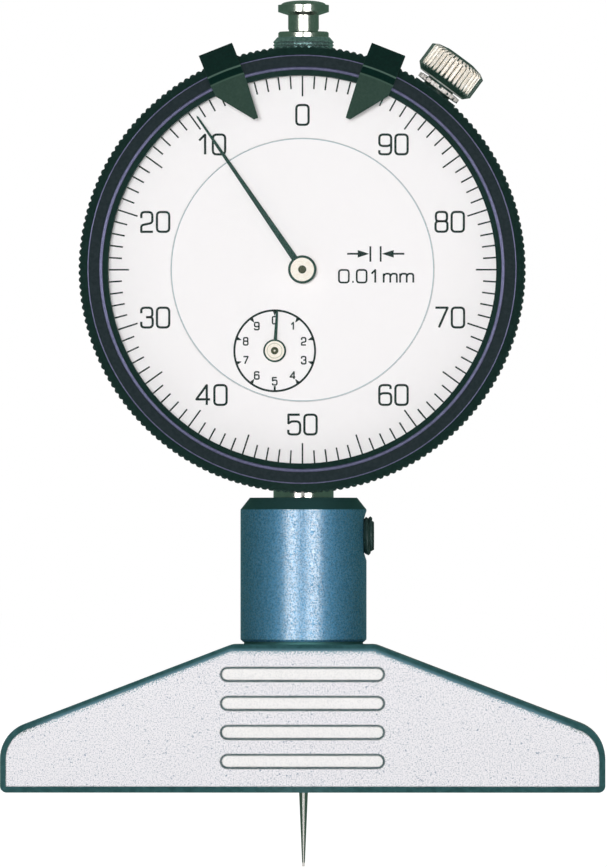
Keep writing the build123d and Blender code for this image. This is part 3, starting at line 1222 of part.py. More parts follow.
# Thumb screw and shoe
def clamp_cone_profile(clearance):
    """The screw's end and shank from the dial's middle outwards, grown by a clearance."""
    tip = CLAMP_CONE_BASE - CLAMP_SCREW_RADIUS + CLAMP_CONE_TIP - clearance
    radius = CLAMP_SCREW_RADIUS + clearance
    shift = math.hypot(clearance, clearance) - clearance
    return [
        (0, tip), (CLAMP_CONE_TIP + shift, tip), (radius, CLAMP_CONE_BASE - shift),
        (radius, CLAMP_SCREW_HEAD), (0, CLAMP_SCREW_HEAD),
    ]


def ridged_outline():
    """Round ridges of the thumb screw's head, as points of a ring."""
    step = 360 / CLAMP_RIDGES
    crest = CLAMP_HEAD_RADIUS
    valley = crest - CLAMP_RIDGE_DEPTH
    points = []
    for index in range(CLAMP_RIDGES):
        points.append(polar(valley, index * step))
        points.append(polar(crest, (index + CLAMP_RIDGE_FLANK_SHARE) * step))
        points.append(polar(crest, (index + 1 - CLAMP_RIDGE_FLANK_SHARE) * step))
    return [(x, y, CLAMP_SCREW_HEAD) for x, y in points]


def clamp_screw():
    top = CLAMP_SCREW_HEAD + CLAMP_HEAD_LENGTH
    rounding = CLAMP_HEAD_ROUNDING
    ridges = Solid.extrude(closed_face(ridged_outline()), Vector(0, 0, CLAMP_HEAD_LENGTH))
    envelope = turned_z([
        (0, CLAMP_SCREW_HEAD), (CLAMP_HEAD_RADIUS - rounding, CLAMP_SCREW_HEAD),
        (CLAMP_HEAD_RADIUS, CLAMP_SCREW_HEAD + rounding), (CLAMP_HEAD_RADIUS, top - rounding),
        (CLAMP_HEAD_RADIUS - rounding, top - CLAMP_HEAD_DISH), (CLAMP_SCREW_RADIUS, top), (0, top),
    ])
    return on_clamp_axis(only(turned_z(clamp_cone_profile(0)) + (ridges & envelope)))


def clamp_collar():
    """The bright washer under the thumb screw's head, carried along by the screw."""
    low = CLAMP_BOSS_TOP + SIDE_GAP
    high = low + COLLAR_THICKNESS
    rim = COLLAR_RADIUS - COLLAR_EDGE
    bore = CLAMP_SCREW_RADIUS + PIVOT_CLEARANCE
    return on_clamp_axis(turned_z([
        (bore, low), (rim, low), (COLLAR_RADIUS, low + COLLAR_EDGE),
        (COLLAR_RADIUS, high - COLLAR_EDGE), (rim, high), (bore, high),
    ]))


def clamp_shoe():
    """The round shoe that the screw's cone drives forwards on to the back of the bezel."""
    x, z = shoe_place()
    body = rod_y(SHOE_RADIUS, BEZEL_BACK + SEAT_GAP, CLAMP_Y, x, z)
    return only(body - on_clamp_axis(turned_z(clamp_cone_profile(SHOE_CLEARANCE))))


save(base_block(), "base_block")
save(stem_sleeve(), "stem_sleeve")
save(stem_clamp_pad(), "stem_clamp_pad")
save(stem_clamp_screw(), "stem_clamp_screw")
save(case(), "case")
save(back_cover(), "back_cover")
save(back_cover_gasket(), "back_cover_gasket")
save(back_cover_screws(), "back_cover_screws")
save(stem(), "stem")
save(stem_bush(), "stem_bush")
save(upper_bush(), "upper_bush")
save(movement_plate(), "movement_plate")
save(movement_pillars(), "movement_pillars")
save(movement_screws(), "movement_screws")
save(centre_bridge(), "centre_bridge")
save(bridge_pillars(), "bridge_pillars")
save(bridge_screws(), "bridge_screws")
save(bearing_jewels(), "bearing_jewels")
save(hairspring(), "hairspring")
save(hairspring_stud(), "hairspring_stud")
save(spring_anchor(), "spring_anchor")
save(spindle(), "spindle")
save(guide_pin(), "guide_pin")
save(spring_pin(), "spring_pin")
save(spindle_spring(), "spindle_spring")
save(contact_point(), "contact_point")
save(lifting_knob(), "lifting_knob")
save(rack_pinion(), "rack_pinion")
save(first_wheel(), "first_wheel")
save(counter_hub(), "counter_hub")
save(counter_pointer(), "counter_pointer")
save(take_up_arbor(), "take_up_arbor")
save(take_up_wheel(), "take_up_wheel")
save(hairspring_collet(), "hairspring_collet")
save(centre_pinion(), "centre_pinion")
save(main_hub(), "main_hub")
save(main_pointer(), "main_pointer")
save(dial_centre(), "dial_centre")
save(dial_feet(), "dial_feet")
save(dial_ring(), "dial_ring")
save(dial_friction_spring(), "dial_friction_spring")
save(bezel(), "bezel")
save(crystal(), "crystal")
save(crystal_gasket(), "crystal_gasket")
save(bezel_snap_ring(), "bezel_snap_ring")
save(marker(-1), "limit_marker_left")
save(marker(1), "limit_marker_right")
save(clamp_screw(), "clamp_screw")
save(clamp_collar(), "clamp_collar")
save(clamp_shoe(), "clamp_shoe")
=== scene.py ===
import json
import math

import bmesh
import bpy
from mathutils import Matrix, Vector


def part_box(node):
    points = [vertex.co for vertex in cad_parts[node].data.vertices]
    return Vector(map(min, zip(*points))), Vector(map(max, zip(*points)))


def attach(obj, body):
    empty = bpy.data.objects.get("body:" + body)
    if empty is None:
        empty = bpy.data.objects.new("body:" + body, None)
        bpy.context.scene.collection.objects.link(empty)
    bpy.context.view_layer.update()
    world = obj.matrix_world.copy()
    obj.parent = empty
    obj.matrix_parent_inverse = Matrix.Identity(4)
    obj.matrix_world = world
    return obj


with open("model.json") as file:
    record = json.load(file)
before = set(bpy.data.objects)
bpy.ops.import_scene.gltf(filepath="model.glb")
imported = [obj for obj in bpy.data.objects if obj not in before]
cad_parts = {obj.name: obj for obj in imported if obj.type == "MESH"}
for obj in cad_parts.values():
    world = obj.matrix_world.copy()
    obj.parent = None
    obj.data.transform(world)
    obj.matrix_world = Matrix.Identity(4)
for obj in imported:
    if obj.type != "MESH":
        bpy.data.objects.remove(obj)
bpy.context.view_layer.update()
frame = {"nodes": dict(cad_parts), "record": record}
scene = bpy.context.scene
scene.view_settings.view_transform = "Standard"

# Dial depth gauge. Metres, +Z up, dial facing -Y. Sizes below are millimetres, turned to metres by MM.
MM = 0.001


def box_mm(name):
    """The low and high corners of a piece, in millimetres."""
    low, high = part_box(name)
    return low / MM, high / MM


# Places taken from the frame
ring_low, ring_high = box_mm("dial_ring")
DIAL_HEIGHT = (ring_low.z + ring_high.z) / 2
DIAL_FACE = ring_low.y
bezel_low, bezel_high = box_mm("bezel")
BEZEL_FRONT = bezel_low.y
BEZEL_REACH = bezel_high.x
hub_low, hub_high = box_mm("main_hub")
MAIN_HUB_FRONT = hub_low.y
MAIN_HUB_RADIUS = (hub_high.x - hub_low.x) / 2
counter_low, counter_high = box_mm("counter_hub")
COUNTER_HUB_FRONT = counter_low.y
COUNTER_HUB_RADIUS = (counter_high.x - counter_low.x) / 2
RING_BORE = box_mm("dial_centre")[1].x
CENTRE = Vector((0, 0))
ORIGIN = Vector((0, 0, 0))
UP = Vector((0, 0, 1))
DEPTH = Vector((0, 1, 0))
DIAL_FOOT = Vector((0, 0, DIAL_HEIGHT))
counter_middle = (counter_low + counter_high) / 2
COUNTER = Vector((counter_middle.x, counter_middle.z - DIAL_HEIGHT))
base_low, base_high = box_mm("base_block")
BASE_HEIGHT = base_high.z
BASE_HALF_LENGTH = base_high.x
BASE_FRONT = base_low.y
SLEEVE_TOP = box_mm("stem_sleeve")[1].z
screw_low, screw_high = box_mm("stem_clamp_screw")
SET_SCREW_HEIGHT = (screw_low.z + screw_high.z) / 2
SET_SCREW_RADIUS = (screw_high.z - screw_low.z) / 2
SET_SCREW_END = screw_high.x
collar_low, collar_high = box_mm("clamp_collar")
collar_middle = (collar_low + collar_high) / 2
CLAMP_FOOT = Vector((0, collar_middle.y, DIAL_HEIGHT))
CLAMP_AXIS = (collar_middle - CLAMP_FOOT).normalized()
COLLAR_MIDDLE = (collar_middle - CLAMP_FOOT).length
COLLAR_RADIUS = (collar_high.y - collar_low.y) / 2
FLOOR_HEIGHT = box_mm("contact_point")[0].z

# Print on the turning ring
INK_THICKNESS = 0.02
INK_SINK = 0.005
MITRE_LIMIT = 0.6
GRADUATIONS = 100
LONG_GRADUATION_EVERY = 5
GRADUATION_WIDTH = 0.21
LONG_GRADUATION_INNER = 22.9
SHORT_GRADUATION_INNER = 23.9
GRADUATION_OUTER = 25.8
NUMERALS = 10
NUMERAL_CIRCLE = 20.45
NUMERAL_HEIGHT = 2.61
NUMERAL_STROKE = 0.3
NUMERAL_GAP = 0.56

# Print on the fixed centre, and a line of painted shade at its edge
GAP_SHADE_WIDTH = 0.09
COUNTER_CIRCLE = 5.33
COUNTER_TURNS = 10
COUNTER_CIRCLE_WIDTH = 0.27
COUNTER_NUMERAL_CIRCLE = 4.03
COUNTER_NUMERAL_HEIGHT = 0.96
COUNTER_NUMERAL_STROKE = 0.19
COUNTER_TICK_LENGTH = 0.68
COUNTER_TICK_WIDTH = 0.56
COUNTER_TICK_TIP = 0.07
COUNTER_BAR_TURN = 5
MARK_STROKE = 0.24
MARK_FIGURE_HEIGHT = 1.67
MARK_FOOT = -1.7
MARK_FIGURES = (("wide 0", 4.82), (".", 6.57), ("wide 0", 7.17), ("1", 9.0), ("m", 10.73), ("m", 12.9))
MARK_BARS = (8.97, 10.33)
MARK_BAR_FOOT = 1.05
MARK_BAR_TOP = 3.1
MARK_ARROWS = ((5.9, 7.3, 8.75), (13.45, 12.05, 10.55))
MARK_ARROW_HEIGHT = 2.1
MARK_ARROW_WIDTH = 1.0
MARK_ARROW_TIP = 0.05

# Beads, rims, arbor ends and a painted highlight dot
INNER_BEAD_RADIUS = 26.52
INNER_BEAD_WIDTH = 0.46
OUTER_BEAD_RADIUS = 28.21
OUTER_BEAD_WIDTH = 0.16
BEAD_RISE_SHARE = 0.14
BEAD_SINK = 0.2
BEAD_STEPS = 8
RIM_PROUD = 0.02
RIM_ROUNDING = 0.05
RIM_SINK = 0.3
MAIN_RIM_WIDTH = 0.3
COUNTER_RIM_WIDTH = 0.21
COUNTER_LINE_RADIUS = 0.98
COUNTER_LINE_WIDTH = 0.06
ARBOR_END_RISE = 0.08
MAIN_ARBOR_RADIUS = 0.54
COUNTER_ARBOR_RADIUS = 0.5
COUNTER_HIGHLIGHT_RADIUS = 0.13

# Thread on the end of the set screw and serration of the collar
THREAD_START = 7.9
THREAD_PITCH = 0.55
THREAD_DEPTH = 0.09
THREAD_SINK = 0.12
THREAD_STEPS = 40
THREAD_CREST_SHARE = 0.2
THREAD_FADE_SHARE = 0.25
THREAD_END_SHARE = 0.2
SERRATIONS = 28
SERRATION_DEPTH = 0.06
SERRATION_HALF_WIDTH = 0.29
SERRATION_WALL = 0.2

# Sizes that only the finishes use
SPECK_BLAST = 0.17
SPECK_FINE = 0.3
SPECK_MIDDLE = 0.5
SPECK_COARSE = 0.9
WEAR_NARROW = 0.12
WEAR_BROAD = 0.25
RELIEF_SLIGHT = 0.0015
RELIEF_SATIN = 0.003
RELIEF_BLAST = 0.009
SMUDGE_SIZE = 8.0
SLEEVE_CHAMFER = 1.6
SLEEVE_FOOT_CHAMFER = 0.45
BASE_TOP_HALF_WIDTH = 9.5
BASE_END_HEIGHT = 7.85
BASE_CHAMFER = 0.8
BASE_CORNER = 7.0
LIGHT_BAND_FROM = 0.5
RAGGED_REACH = 0.7
RECESS_OUTLINE = 0.28
RECESS_DEPTH_SEEN = 0.05
CLAMP_HEAD_RADIUS = 4.17
CLAMP_HEAD_START = 30.75
CLAMP_HEAD_END = 35.17
CLAMP_HEAD_ROUNDING = 0.75
CLAMP_HEAD_DISH = 0.3
CLAMP_RIDGES = 38
CLAMP_VALLEY_DEPTH = 0.24
CLAMP_CREST_DEPTH = 0.08
CLAMP_POINTS = 0.8
CLAMP_FLANK_SHADE_FROM = 3.62
SOFT_BORDER = 0.12
OUTER_FOLD_SETBACK = 1.44
INNER_FOLD_SETBACK = 2.54
MARKER_FOLD_OUTER = BEZEL_REACH - OUTER_FOLD_SETBACK
MARKER_FOLD_INNER = BEZEL_REACH - INNER_FOLD_SETBACK
MARKER_LINE_WIDTH = 0.16

# Shares of a normal along Y from which a face of the base counts as bevel or as flat
BEVEL_FACING = (0.35, 0.5)
FLAT_FACING = (0.96, 0.985)

# Grain drawn out along Y, along Z and along the clamp screw
ALONG_DEPTH = (1.0, 0.12, 1.0)
ALONG_HEIGHT = (1.0, 1.0, 0.12)
ALONG_CLAMP = (0.6, 1.0, 0.5)

# Letter forms. A stroke is closed or open and runs through corner points: across, up, and how far
# the rounding starts from the corner, where 1 is a figure's height. The first number is the width.
FIGURES = {
    "0": (0.62, [(True, [(0, 0, 0.2), (0.62, 0, 0.2), (0.62, 1, 0.2), (0, 1, 0.2)])]),
    "wide 0": (0.78, [(True, [(0, 0, 0.24), (0.78, 0, 0.24), (0.78, 1, 0.24), (0, 1, 0.24)])]),
    "1": (0.55, [(False, [(0.07, 0.7, 0), (0.37, 1, 0.02), (0.37, 0, 0)])]),
    "2": (0.58, [(False, [
        (0, 0.69, 0), (0, 1, 0.2), (0.56, 1, 0.2), (0.56, 0.45, 0.14), (0, 0.33, 0.12),
        (0, 0, 0.01), (0.59, 0, 0),
    ])]),
    "3": (0.58, [
        (False, [(0, 0.72, 0), (0, 1, 0.2), (0.56, 1, 0.2), (0.56, 0.52, 0.16), (0.24, 0.52, 0)]),
        (False, [(0.3, 0.52, 0), (0.58, 0.52, 0.16), (0.58, 0, 0.2), (0, 0, 0.2), (0, 0.29, 0)]),
    ]),
    "4": (0.7, [(False, [(0.53, 0, 0), (0.53, 1, 0.02), (0, 0.28, 0.02), (0.7, 0.28, 0)])]),
    "5": (0.6, [(False, [
        (0.58, 1, 0), (0.01, 1, 0.01), (0.01, 0.56, 0.02), (0.16, 0.66, 0.1), (0.6, 0.66, 0.22),
        (0.6, 0, 0.22), (0, 0, 0.2), (0, 0.24, 0),
    ])]),
    "6": (0.6, [(False, [
        (0.57, 0.8, 0), (0.57, 1, 0.19), (0, 1, 0.22), (0, 0, 0.2), (0.6, 0, 0.2),
        (0.6, 0.59, 0.2), (0.14, 0.59, 0.12), (0, 0.5, 0),
    ])]),
    "7": (0.62, [(False, [(0, 1, 0), (0.62, 1, 0.02), (0.18, 0, 0)])]),
    "8": (0.6, [
        (True, [(0.02, 0.53, 0.16), (0.58, 0.53, 0.16), (0.58, 1, 0.18), (0.02, 1, 0.18)]),
        (True, [(0, 0, 0.19), (0.6, 0, 0.19), (0.6, 0.53, 0.17), (0, 0.53, 0.17)]),
    ]),
    "9": (0.6, [(False, [
        (0, 0.21, 0), (0, 0, 0.19), (0.6, 0, 0.22), (0.6, 1, 0.2), (0, 1, 0.2),
        (0, 0.42, 0.2), (0.46, 0.42, 0.12), (0.6, 0.5, 0),
    ])]),
    ".": (0.12, [(False, [(0, 0.06, 0), (0.12, 0.06, 0)])]),
    "m": (1.0, [
        (False, [(0, 0, 0), (0, 0.72, 0)]),
        (False, [(0, 0.5, 0), (0.12, 0.7, 0.12), (0.52, 0.7, 0.17), (0.52, 0, 0)]),
        (False, [(0.52, 0.5, 0), (0.64, 0.7, 0.12), (1.04, 0.7, 0.17), (1.04, 0, 0)]),
    ]),
}
CORNER_STEPS = 6

# How finely round things are drawn
SMOOTH_ANGLE = math.radians(35)
RING_STEPS = 192
SMALL_RING_STEPS = 64
DOME_STEPS = 6


# Shapes
def at_dial(point, depth, middle=CENTRE):
    """A place on the dial, given from the middle of its own circle, at a depth along Y."""
    return Vector((middle.x + point[0], depth, DIAL_HEIGHT + middle.y + point[1])) * MM


def around(radius, degrees):
    """A point at an angle from the top, clockwise."""
    angle = math.radians(degrees)
    return Vector((radius * math.sin(angle), radius * math.cos(angle)))


def rounded(corners, closed):
    """Points of a line whose corners are rounded."""
    points = []
    last = len(corners) - 1
    for index, (across, up, reach) in enumerate(corners):
        corner = Vector((across, up))
        if reach == 0 or (not closed and index in (0, last)):
            points.append(corner)
            continue
        behind = Vector(corners[index - 1][:2]) - corner
        ahead = Vector(corners[(index + 1) % (last + 1)][:2]) - corner
        start = corner + behind.normalized() * min(reach, behind.length / 2)
        end = corner + ahead.normalized() * min(reach, ahead.length / 2)
        for step in range(CORNER_STEPS + 1):
            share = step / CORNER_STEPS
            points.append(start.lerp(corner, share).lerp(corner.lerp(end, share), share))
    return points


def bridge_rows(mesh, rows, closed):
    """Faces between neighbouring rows of points, each row a closed loop."""
    following = rows[1:] + rows[:1] if closed else rows[1:]
    for near, far in zip(rows, following):
        for index in range(len(near)):
            other = (index + 1) % len(near)
            mesh.faces.new((near[index], near[other], far[other], far[index]))
    if not closed:
        mesh.faces.new(rows[0])
        mesh.faces.new(rows[-1])


def inked_line(mesh, points, widths, closed, middle=CENTRE):
    """A line of ink along points, a thin closed solid on the dial, of one width or one per point."""
    front, back = DIAL_FACE - INK_THICKNESS, DIAL_FACE + INK_SINK
    if not isinstance(widths, list):
        widths = [widths] * len(points)
    count = len(points)
    rows = []
    for index, point in enumerate(points):
        ahead = behind = None
        if closed or index < count - 1:
            ahead = (points[(index + 1) % count] - point).normalized()
        if closed or index > 0:
            behind = (point - points[index - 1]).normalized()
        ahead = ahead or behind
        behind = behind or ahead
        along = (ahead + behind).normalized()
        side = Vector((-along.y, along.x)) * (widths[index] / 2 / max(along.dot(ahead), MITRE_LIMIT))
        corners = ((point + side, front), (point - side, front), (point - side, back), (point + side, back))
        rows.append([mesh.verts.new(at_dial(place, depth, middle)) for place, depth in corners])
    bridge_rows(mesh, rows, closed)


def inked_circle(mesh, radius, width, middle=CENTRE):
    """A circle of ink."""
    points = [around(radius, 360 * step / RING_STEPS) for step in range(RING_STEPS)]
    inked_line(mesh, points, width, True, middle)


def write(mesh, text, place, height, stroke, gap=0.0, middle=CENTRE):
    """Writes figures, whose left foot is at a place."""
    left = place[0]
    for letter in text:
        width, strokes = FIGURES[letter]
        for closed, corners in strokes:
            line = [Vector((left, place[1])) + point * height for point in rounded(corners, closed)]
            inked_line(mesh, line, stroke, closed, middle)
        left += width * height + gap


def write_centred(mesh, text, centre, height, stroke, gap=0.0, middle=CENTRE):
    """Writes figures round a middle point."""
    width = sum(FIGURES[letter][0] * height for letter in text) + gap * (len(text) - 1)
    write(mesh, text, (centre.x - width / 2, centre.y - height / 2), height, stroke, gap, middle)


def turned(mesh, profile, middle=CENTRE, steps=RING_STEPS):
    """Turns a closed profile of radius and depth about an axis along Y."""
    rows = []
    for step in range(steps):
        angle = 360 * step / steps
        places = [at_dial(around(radius, angle), depth, middle) for radius, depth in profile]
        rows.append([mesh.verts.new(place) for place in places])
    bridge_rows(mesh, rows, True)


def dome(mesh, radius, front, rise, middle):
    """A low closed dome that faces the front."""
    rows = []
    for ring in range(DOME_STEPS):
        angle = math.pi / 2 * ring / DOME_STEPS
        depth = front - rise * math.sin(angle)
        reach = radius * math.cos(angle)
        rows.append([
            mesh.verts.new(at_dial(around(reach, 360 * step / SMALL_RING_STEPS), depth, middle))
            for step in range(SMALL_RING_STEPS)
        ])
    bridge_rows(mesh, rows, False)


def piece(name, mesh, material, body):
    """Makes an object of a mesh, gives it its finish and lets it ride on a body."""
    bmesh.ops.recalc_face_normals(mesh, faces=mesh.faces)
    data = bpy.data.meshes.new(name)
    mesh.to_mesh(data)
    mesh.free()
    data.shade_smooth()
    data.set_sharp_from_angle(angle=SMOOTH_ANGLE)
    data.materials.append(material)
    made = bpy.data.objects.new(name, data)
    scene.collection.objects.link(made)
    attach(made, body)


# Nodes, and the groups of them that the finishes share
def feed(tree, value, socket):
    """Gives an input its value, a constant or the output of another node."""
    if isinstance(value, bpy.types.NodeSocket):
        tree.links.new(value, socket)
    else:
        socket.default_value = value


def node(tree, kind, **values):
    """A node with its settings and what feeds its named inputs."""
    made = tree.nodes.new(kind)
    for name, value in values.items():
        if name in made.bl_rna.properties:
            setattr(made, name, value)
        else:
            feed(tree, value, made.inputs[name.replace("_", " ")])
    return made


def maths(tree, operation, *values, clamp=False):
    """What an operation on numbers gives."""
    made = node(tree, "ShaderNodeMath", operation=operation, use_clamp=clamp)
    for value, socket in zip(values, made.inputs):
        feed(tree, value, socket)
    return made.outputs["Value"]


def vectors(tree, operation, *values):
    """What an operation on vectors gives, which is a number for a dot product or a length."""
    made = node(tree, "ShaderNodeVectorMath", operation=operation)
    for value, socket in zip(values, made.inputs):
        feed(tree, value, socket)
    return made.outputs["Value" if operation in ("DOT_PRODUCT", "LENGTH") else "Vector"]


def ranged(tree, value, **limits):
    """A value brought from one range to another, where a limit that isn't given is 0 or 1."""
    return node(tree, "ShaderNodeMapRange", Value=value, **limits).outputs["Result"]


def group(name, output, **inputs):
    """An empty node group with its named inputs and its one output."""
    tree = bpy.data.node_groups.new(name, "ShaderNodeTree")
    for label, value in inputs.items():
        kind = "NodeSocketVector" if isinstance(value, tuple) else "NodeSocketFloat"
        tree.interface.new_socket(label, in_out="INPUT", socket_type=kind).default_value = value
    tree.interface.new_socket(output, in_out="OUTPUT", socket_type="NodeSocketFloat")
    return tree, tree.nodes.new("NodeGroupInput").outputs, tree.nodes.new("NodeGroupOutput").inputs[0]


def own_place(tree):
    """Where a point of the surface lies on the object."""
    return node(tree, "ShaderNodeTexCoord").outputs["Object"]


def grain_group():
    """Grain of a given size in metres, which can be drawn out along an axis, as a mask from 0 to 1."""
    tree, given, result = group(
        "grain", "Mask", Size=SPECK_MIDDLE * MM, Squeeze=(1.0, 1.0, 1.0), Low=0.35, High=0.65,
    )
    noise = node(
        tree, "ShaderNodeTexNoise", Vector=vectors(tree, "MULTIPLY", own_place(tree), given["Squeeze"]),
        Scale=maths(tree, "DIVIDE", 1.0, given["Size"]), Detail=3.0, Roughness=0.6,
    )
    spread = ranged(
        tree, noise.outputs["Fac"], interpolation_type="SMOOTHSTEP", From_Min=given["Low"],
        From_Max=given["High"],
    )
    tree.links.new(spread, result)
    return tree


def edge_group():
    """A mask of the edges and corners, broken up by noise."""
    tree, given, result = group("edge_tint_for_wear_and_painted_light", "Mask", Width=WEAR_BROAD * MM, Amount=1.0)
    round_off = node(tree, "ShaderNodeBevel", samples=4, Radius=given["Width"])
    surface = node(tree, "ShaderNodeNewGeometry")
    meet = vectors(tree, "DOT_PRODUCT", round_off.outputs["Normal"], surface.outputs["Normal"])
    turned_away = ranged(tree, meet, From_Min=0.995, From_Max=0.93)
    noise = node(
        tree, "ShaderNodeTexNoise", Vector=own_place(tree), Scale=1 / (SPECK_COARSE * MM), Detail=2.0,
    )
    broken = ranged(tree, noise.outputs["Fac"], From_Min=0.3, From_Max=0.6, To_Min=0.35)
    whole = maths(tree, "MULTIPLY", turned_away, broken)
    tree.links.new(maths(tree, "MULTIPLY", whole, given["Amount"]), result)
    return tree


def handling_group():
    """Soft smudges that let the roughness wander between two values."""
    tree, given, result = group("handling", "Roughness", Size=SMUDGE_SIZE * MM, Smooth=0.3, Rough=0.4)
    noise = node(
        tree, "ShaderNodeTexNoise", Vector=own_place(tree),
        Scale=maths(tree, "DIVIDE", 1.0, given["Size"]), Detail=4.0, Distortion=0.6,
    )
    spread = ranged(
        tree, noise.outputs["Fac"], From_Min=0.3, From_Max=0.7, To_Min=given["Smooth"],
        To_Max=given["Rough"],
    )
    tree.links.new(spread, result)
    return tree


def from_foot(tree, given):
    """Where a point of the surface lies, counted from the foot of an axis."""
    return vectors(tree, "SUBTRACT", own_place(tree), given["Foot"])


def distance_group():
    """A mask that rises from 0 to 1 between two distances from an axis."""
    tree, given, result = group(
        "distance from axis", "Mask", Foot=(0.0, 0.0, 0.0), Axis=(0.0, 1.0, 0.0), Start=0.0, End=1.0,
    )
    reach = vectors(tree, "LENGTH", vectors(tree, "CROSS_PRODUCT", from_foot(tree, given), given["Axis"]))
    tree.links.new(ranged(tree, reach, From_Min=given["Start"], From_Max=given["End"]), result)
    return tree


def along_group():
    """A mask that rises from 0 to 1 between two places along an axis."""
    tree, given, result = group(
        "place along axis", "Mask", Foot=(0.0, 0.0, 0.0), Axis=(0.0, 1.0, 0.0), Start=0.0, End=1.0,
    )
    reach = vectors(tree, "DOT_PRODUCT", from_foot(tree, given), given["Axis"])
    tree.links.new(ranged(tree, reach, From_Min=given["Start"], From_Max=given["End"]), result)
    return tree


def ribs_group():
    """Stripes along an axis, evenly spaced round it from a side direction, as a mask from 0 to 1."""
    tree, given, result = group(
        "ribs round axis", "Mask", Foot=(0.0, 0.0, 0.0), Side=(1.0, 0.0, 0.0), Depth=(0.0, 1.0, 0.0),
        Count=12.0, Low=-0.8, High=-0.4,
    )
    place = from_foot(tree, given)
    sideways = vectors(tree, "DOT_PRODUCT", place, given["Side"])
    back = vectors(tree, "DOT_PRODUCT", place, given["Depth"])
    turns = maths(tree, "MULTIPLY", maths(tree, "ARCTAN2", back, sideways), given["Count"])
    wave = maths(tree, "COSINE", turns)
    tree.links.new(ranged(tree, wave, From_Min=given["Low"], From_Max=given["High"]), result)
    return tree


GRAIN = grain_group()
EDGE = edge_group()
HANDLING = handling_group()
DISTANCE = distance_group()
ALONG = along_group()
RIBS = ribs_group()


# Finishes
def placed(tree, kind, **values):
    """One of the groups, placed in a material with its own values, and what it puts out."""
    made = tree.nodes.new("ShaderNodeGroup")
    made.node_tree = kind
    for name, value in values.items():
        made.inputs[name].default_value = value
    return made.outputs[0]


def beyond_radius(tree, foot, axis, start, end):
    """A mask of what lies further off an axis than start, whole from end on, in millimetres."""
    return placed(tree, DISTANCE, Foot=foot * MM, Axis=axis, Start=start * MM, End=end * MM)


def further_along(tree, foot, axis, start, end):
    """A mask of what lies further along an axis than start, whole from end on, in millimetres."""
    return placed(tree, ALONG, Foot=foot * MM, Axis=axis, Start=start * MM, End=end * MM)


def mixed(tree, factor, first, second):
    """A mix of two colours, each a plain colour or the output of a node."""
    made = node(tree, "ShaderNodeMix", data_type="RGBA")
    tree.links.new(factor, made.inputs["Factor"])
    for socket, colour in ((made.inputs[6], first), (made.inputs[7], second)):
        feed(tree, (*colour, 1.0) if isinstance(colour, tuple) else colour, socket)
    return made.outputs[2]


def grained(tree, light, dark, speck, low=0.3, high=0.7, squeeze=(1.0, 1.0, 1.0)):
    """A colour with grain in it, and the mask of that grain."""
    grain = placed(tree, GRAIN, Size=speck * MM, Squeeze=squeeze, Low=low, High=high)
    return mixed(tree, grain, light, dark), grain


def worn(tree, colour, width, amount, shade):
    """A colour whose edges go to another shade, which is rubbed metal or paint on most parts, a painted
    glint on the bush and painted shade round the base's recesses.
    """
    return mixed(tree, placed(tree, EDGE, Width=width * MM, Amount=amount), colour, shade)


def new_material(name):
    """A material, its node tree and its shader."""
    material = bpy.data.materials.new(name)
    material.use_nodes = True
    tree = material.node_tree
    return material, tree, tree.nodes["Principled BSDF"]


def dressed(tree, shader, colour, roughness, height, relief):
    """Gives a shader its colour, smudged gloss, and a relief whose height a mask gives."""
    tree.links.new(colour, shader.inputs["Base Color"])
    gloss = placed(tree, HANDLING, Smooth=roughness[0], Rough=roughness[1])
    tree.links.new(gloss, shader.inputs["Roughness"])
    if relief:
        bump = node(tree, "ShaderNodeBump", Strength=1.0, Distance=relief * MM, Height=height)
        tree.links.new(bump.outputs["Normal"], shader.inputs["Normal"])


def finish(
    name, light, dark, speck=SPECK_MIDDLE, squeeze=(1.0, 1.0, 1.0), metallic=0.0, roughness=(0.3, 0.42),
    relief=0.0, edge_wear_and_glint=None, edge_wear_and_glint_amount=0.6, specular=0.5,
):
    """A finish with grain in its colour and relief, smudged gloss and edges turned to another colour,
    rubbed on most finishes and a painted glint on the bush.
    """
    material, tree, shader = new_material(name)
    colour, grain = grained(tree, light, dark, speck, squeeze=squeeze)
    if edge_wear_and_glint is not None:
        colour = worn(tree, colour, WEAR_NARROW, edge_wear_and_glint_amount, edge_wear_and_glint)
    dressed(tree, shader, colour, roughness, grain, relief)
    shader.inputs["Metallic"].default_value = metallic
    shader.inputs["Specular IOR Level"].default_value = specular
    return material


def blasted_and_coated(name):
    """The sleeve: blasted blue metal whose broad glow carries a sparkling clear coat.

    The bevelled top and foot are painted shade, a darker teal, and have no coat.
    """
    material, tree, shader = new_material(name)
    colour, fine = grained(tree, (0.165, 0.43, 0.68), (0.09, 0.29, 0.49), SPECK_FINE, 0.38, 0.62)
    sparkle = placed(tree, GRAIN, Size=SPECK_BLAST * MM, Low=0.36, High=0.62)
    top, foot = SLEEVE_TOP - SLEEVE_CHAMFER, BASE_HEIGHT + SLEEVE_FOOT_CHAMFER
    above = further_along(tree, ORIGIN, UP, top, top + SOFT_BORDER)
    below = further_along(tree, ORIGIN, -UP, -foot, SOFT_BORDER - foot)
    # Painted shade: the bevelled top and foot go darker teal and lose the coat.
    shaded_bevels = maths(tree, "MAXIMUM", above, below)
    colour = worn(tree, colour, WEAR_BROAD, 0.6, (0.10, 0.33, 0.36))
    colour = mixed(tree, shaded_bevels, colour, (0.085, 0.22, 0.22))
    coat = maths(tree, "SUBTRACT", sparkle, shaded_bevels, clamp=True)
    tree.links.new(coat, shader.inputs["Coat Weight"])
    dressed(tree, shader, colour, (0.66, 0.72), fine, RELIEF_BLAST)
    shader.inputs["Metallic"].default_value = 1.0
    shader.inputs["Coat Roughness"].default_value = 0.3
    shader.inputs["Coat IOR"].default_value = 2.6
    return material


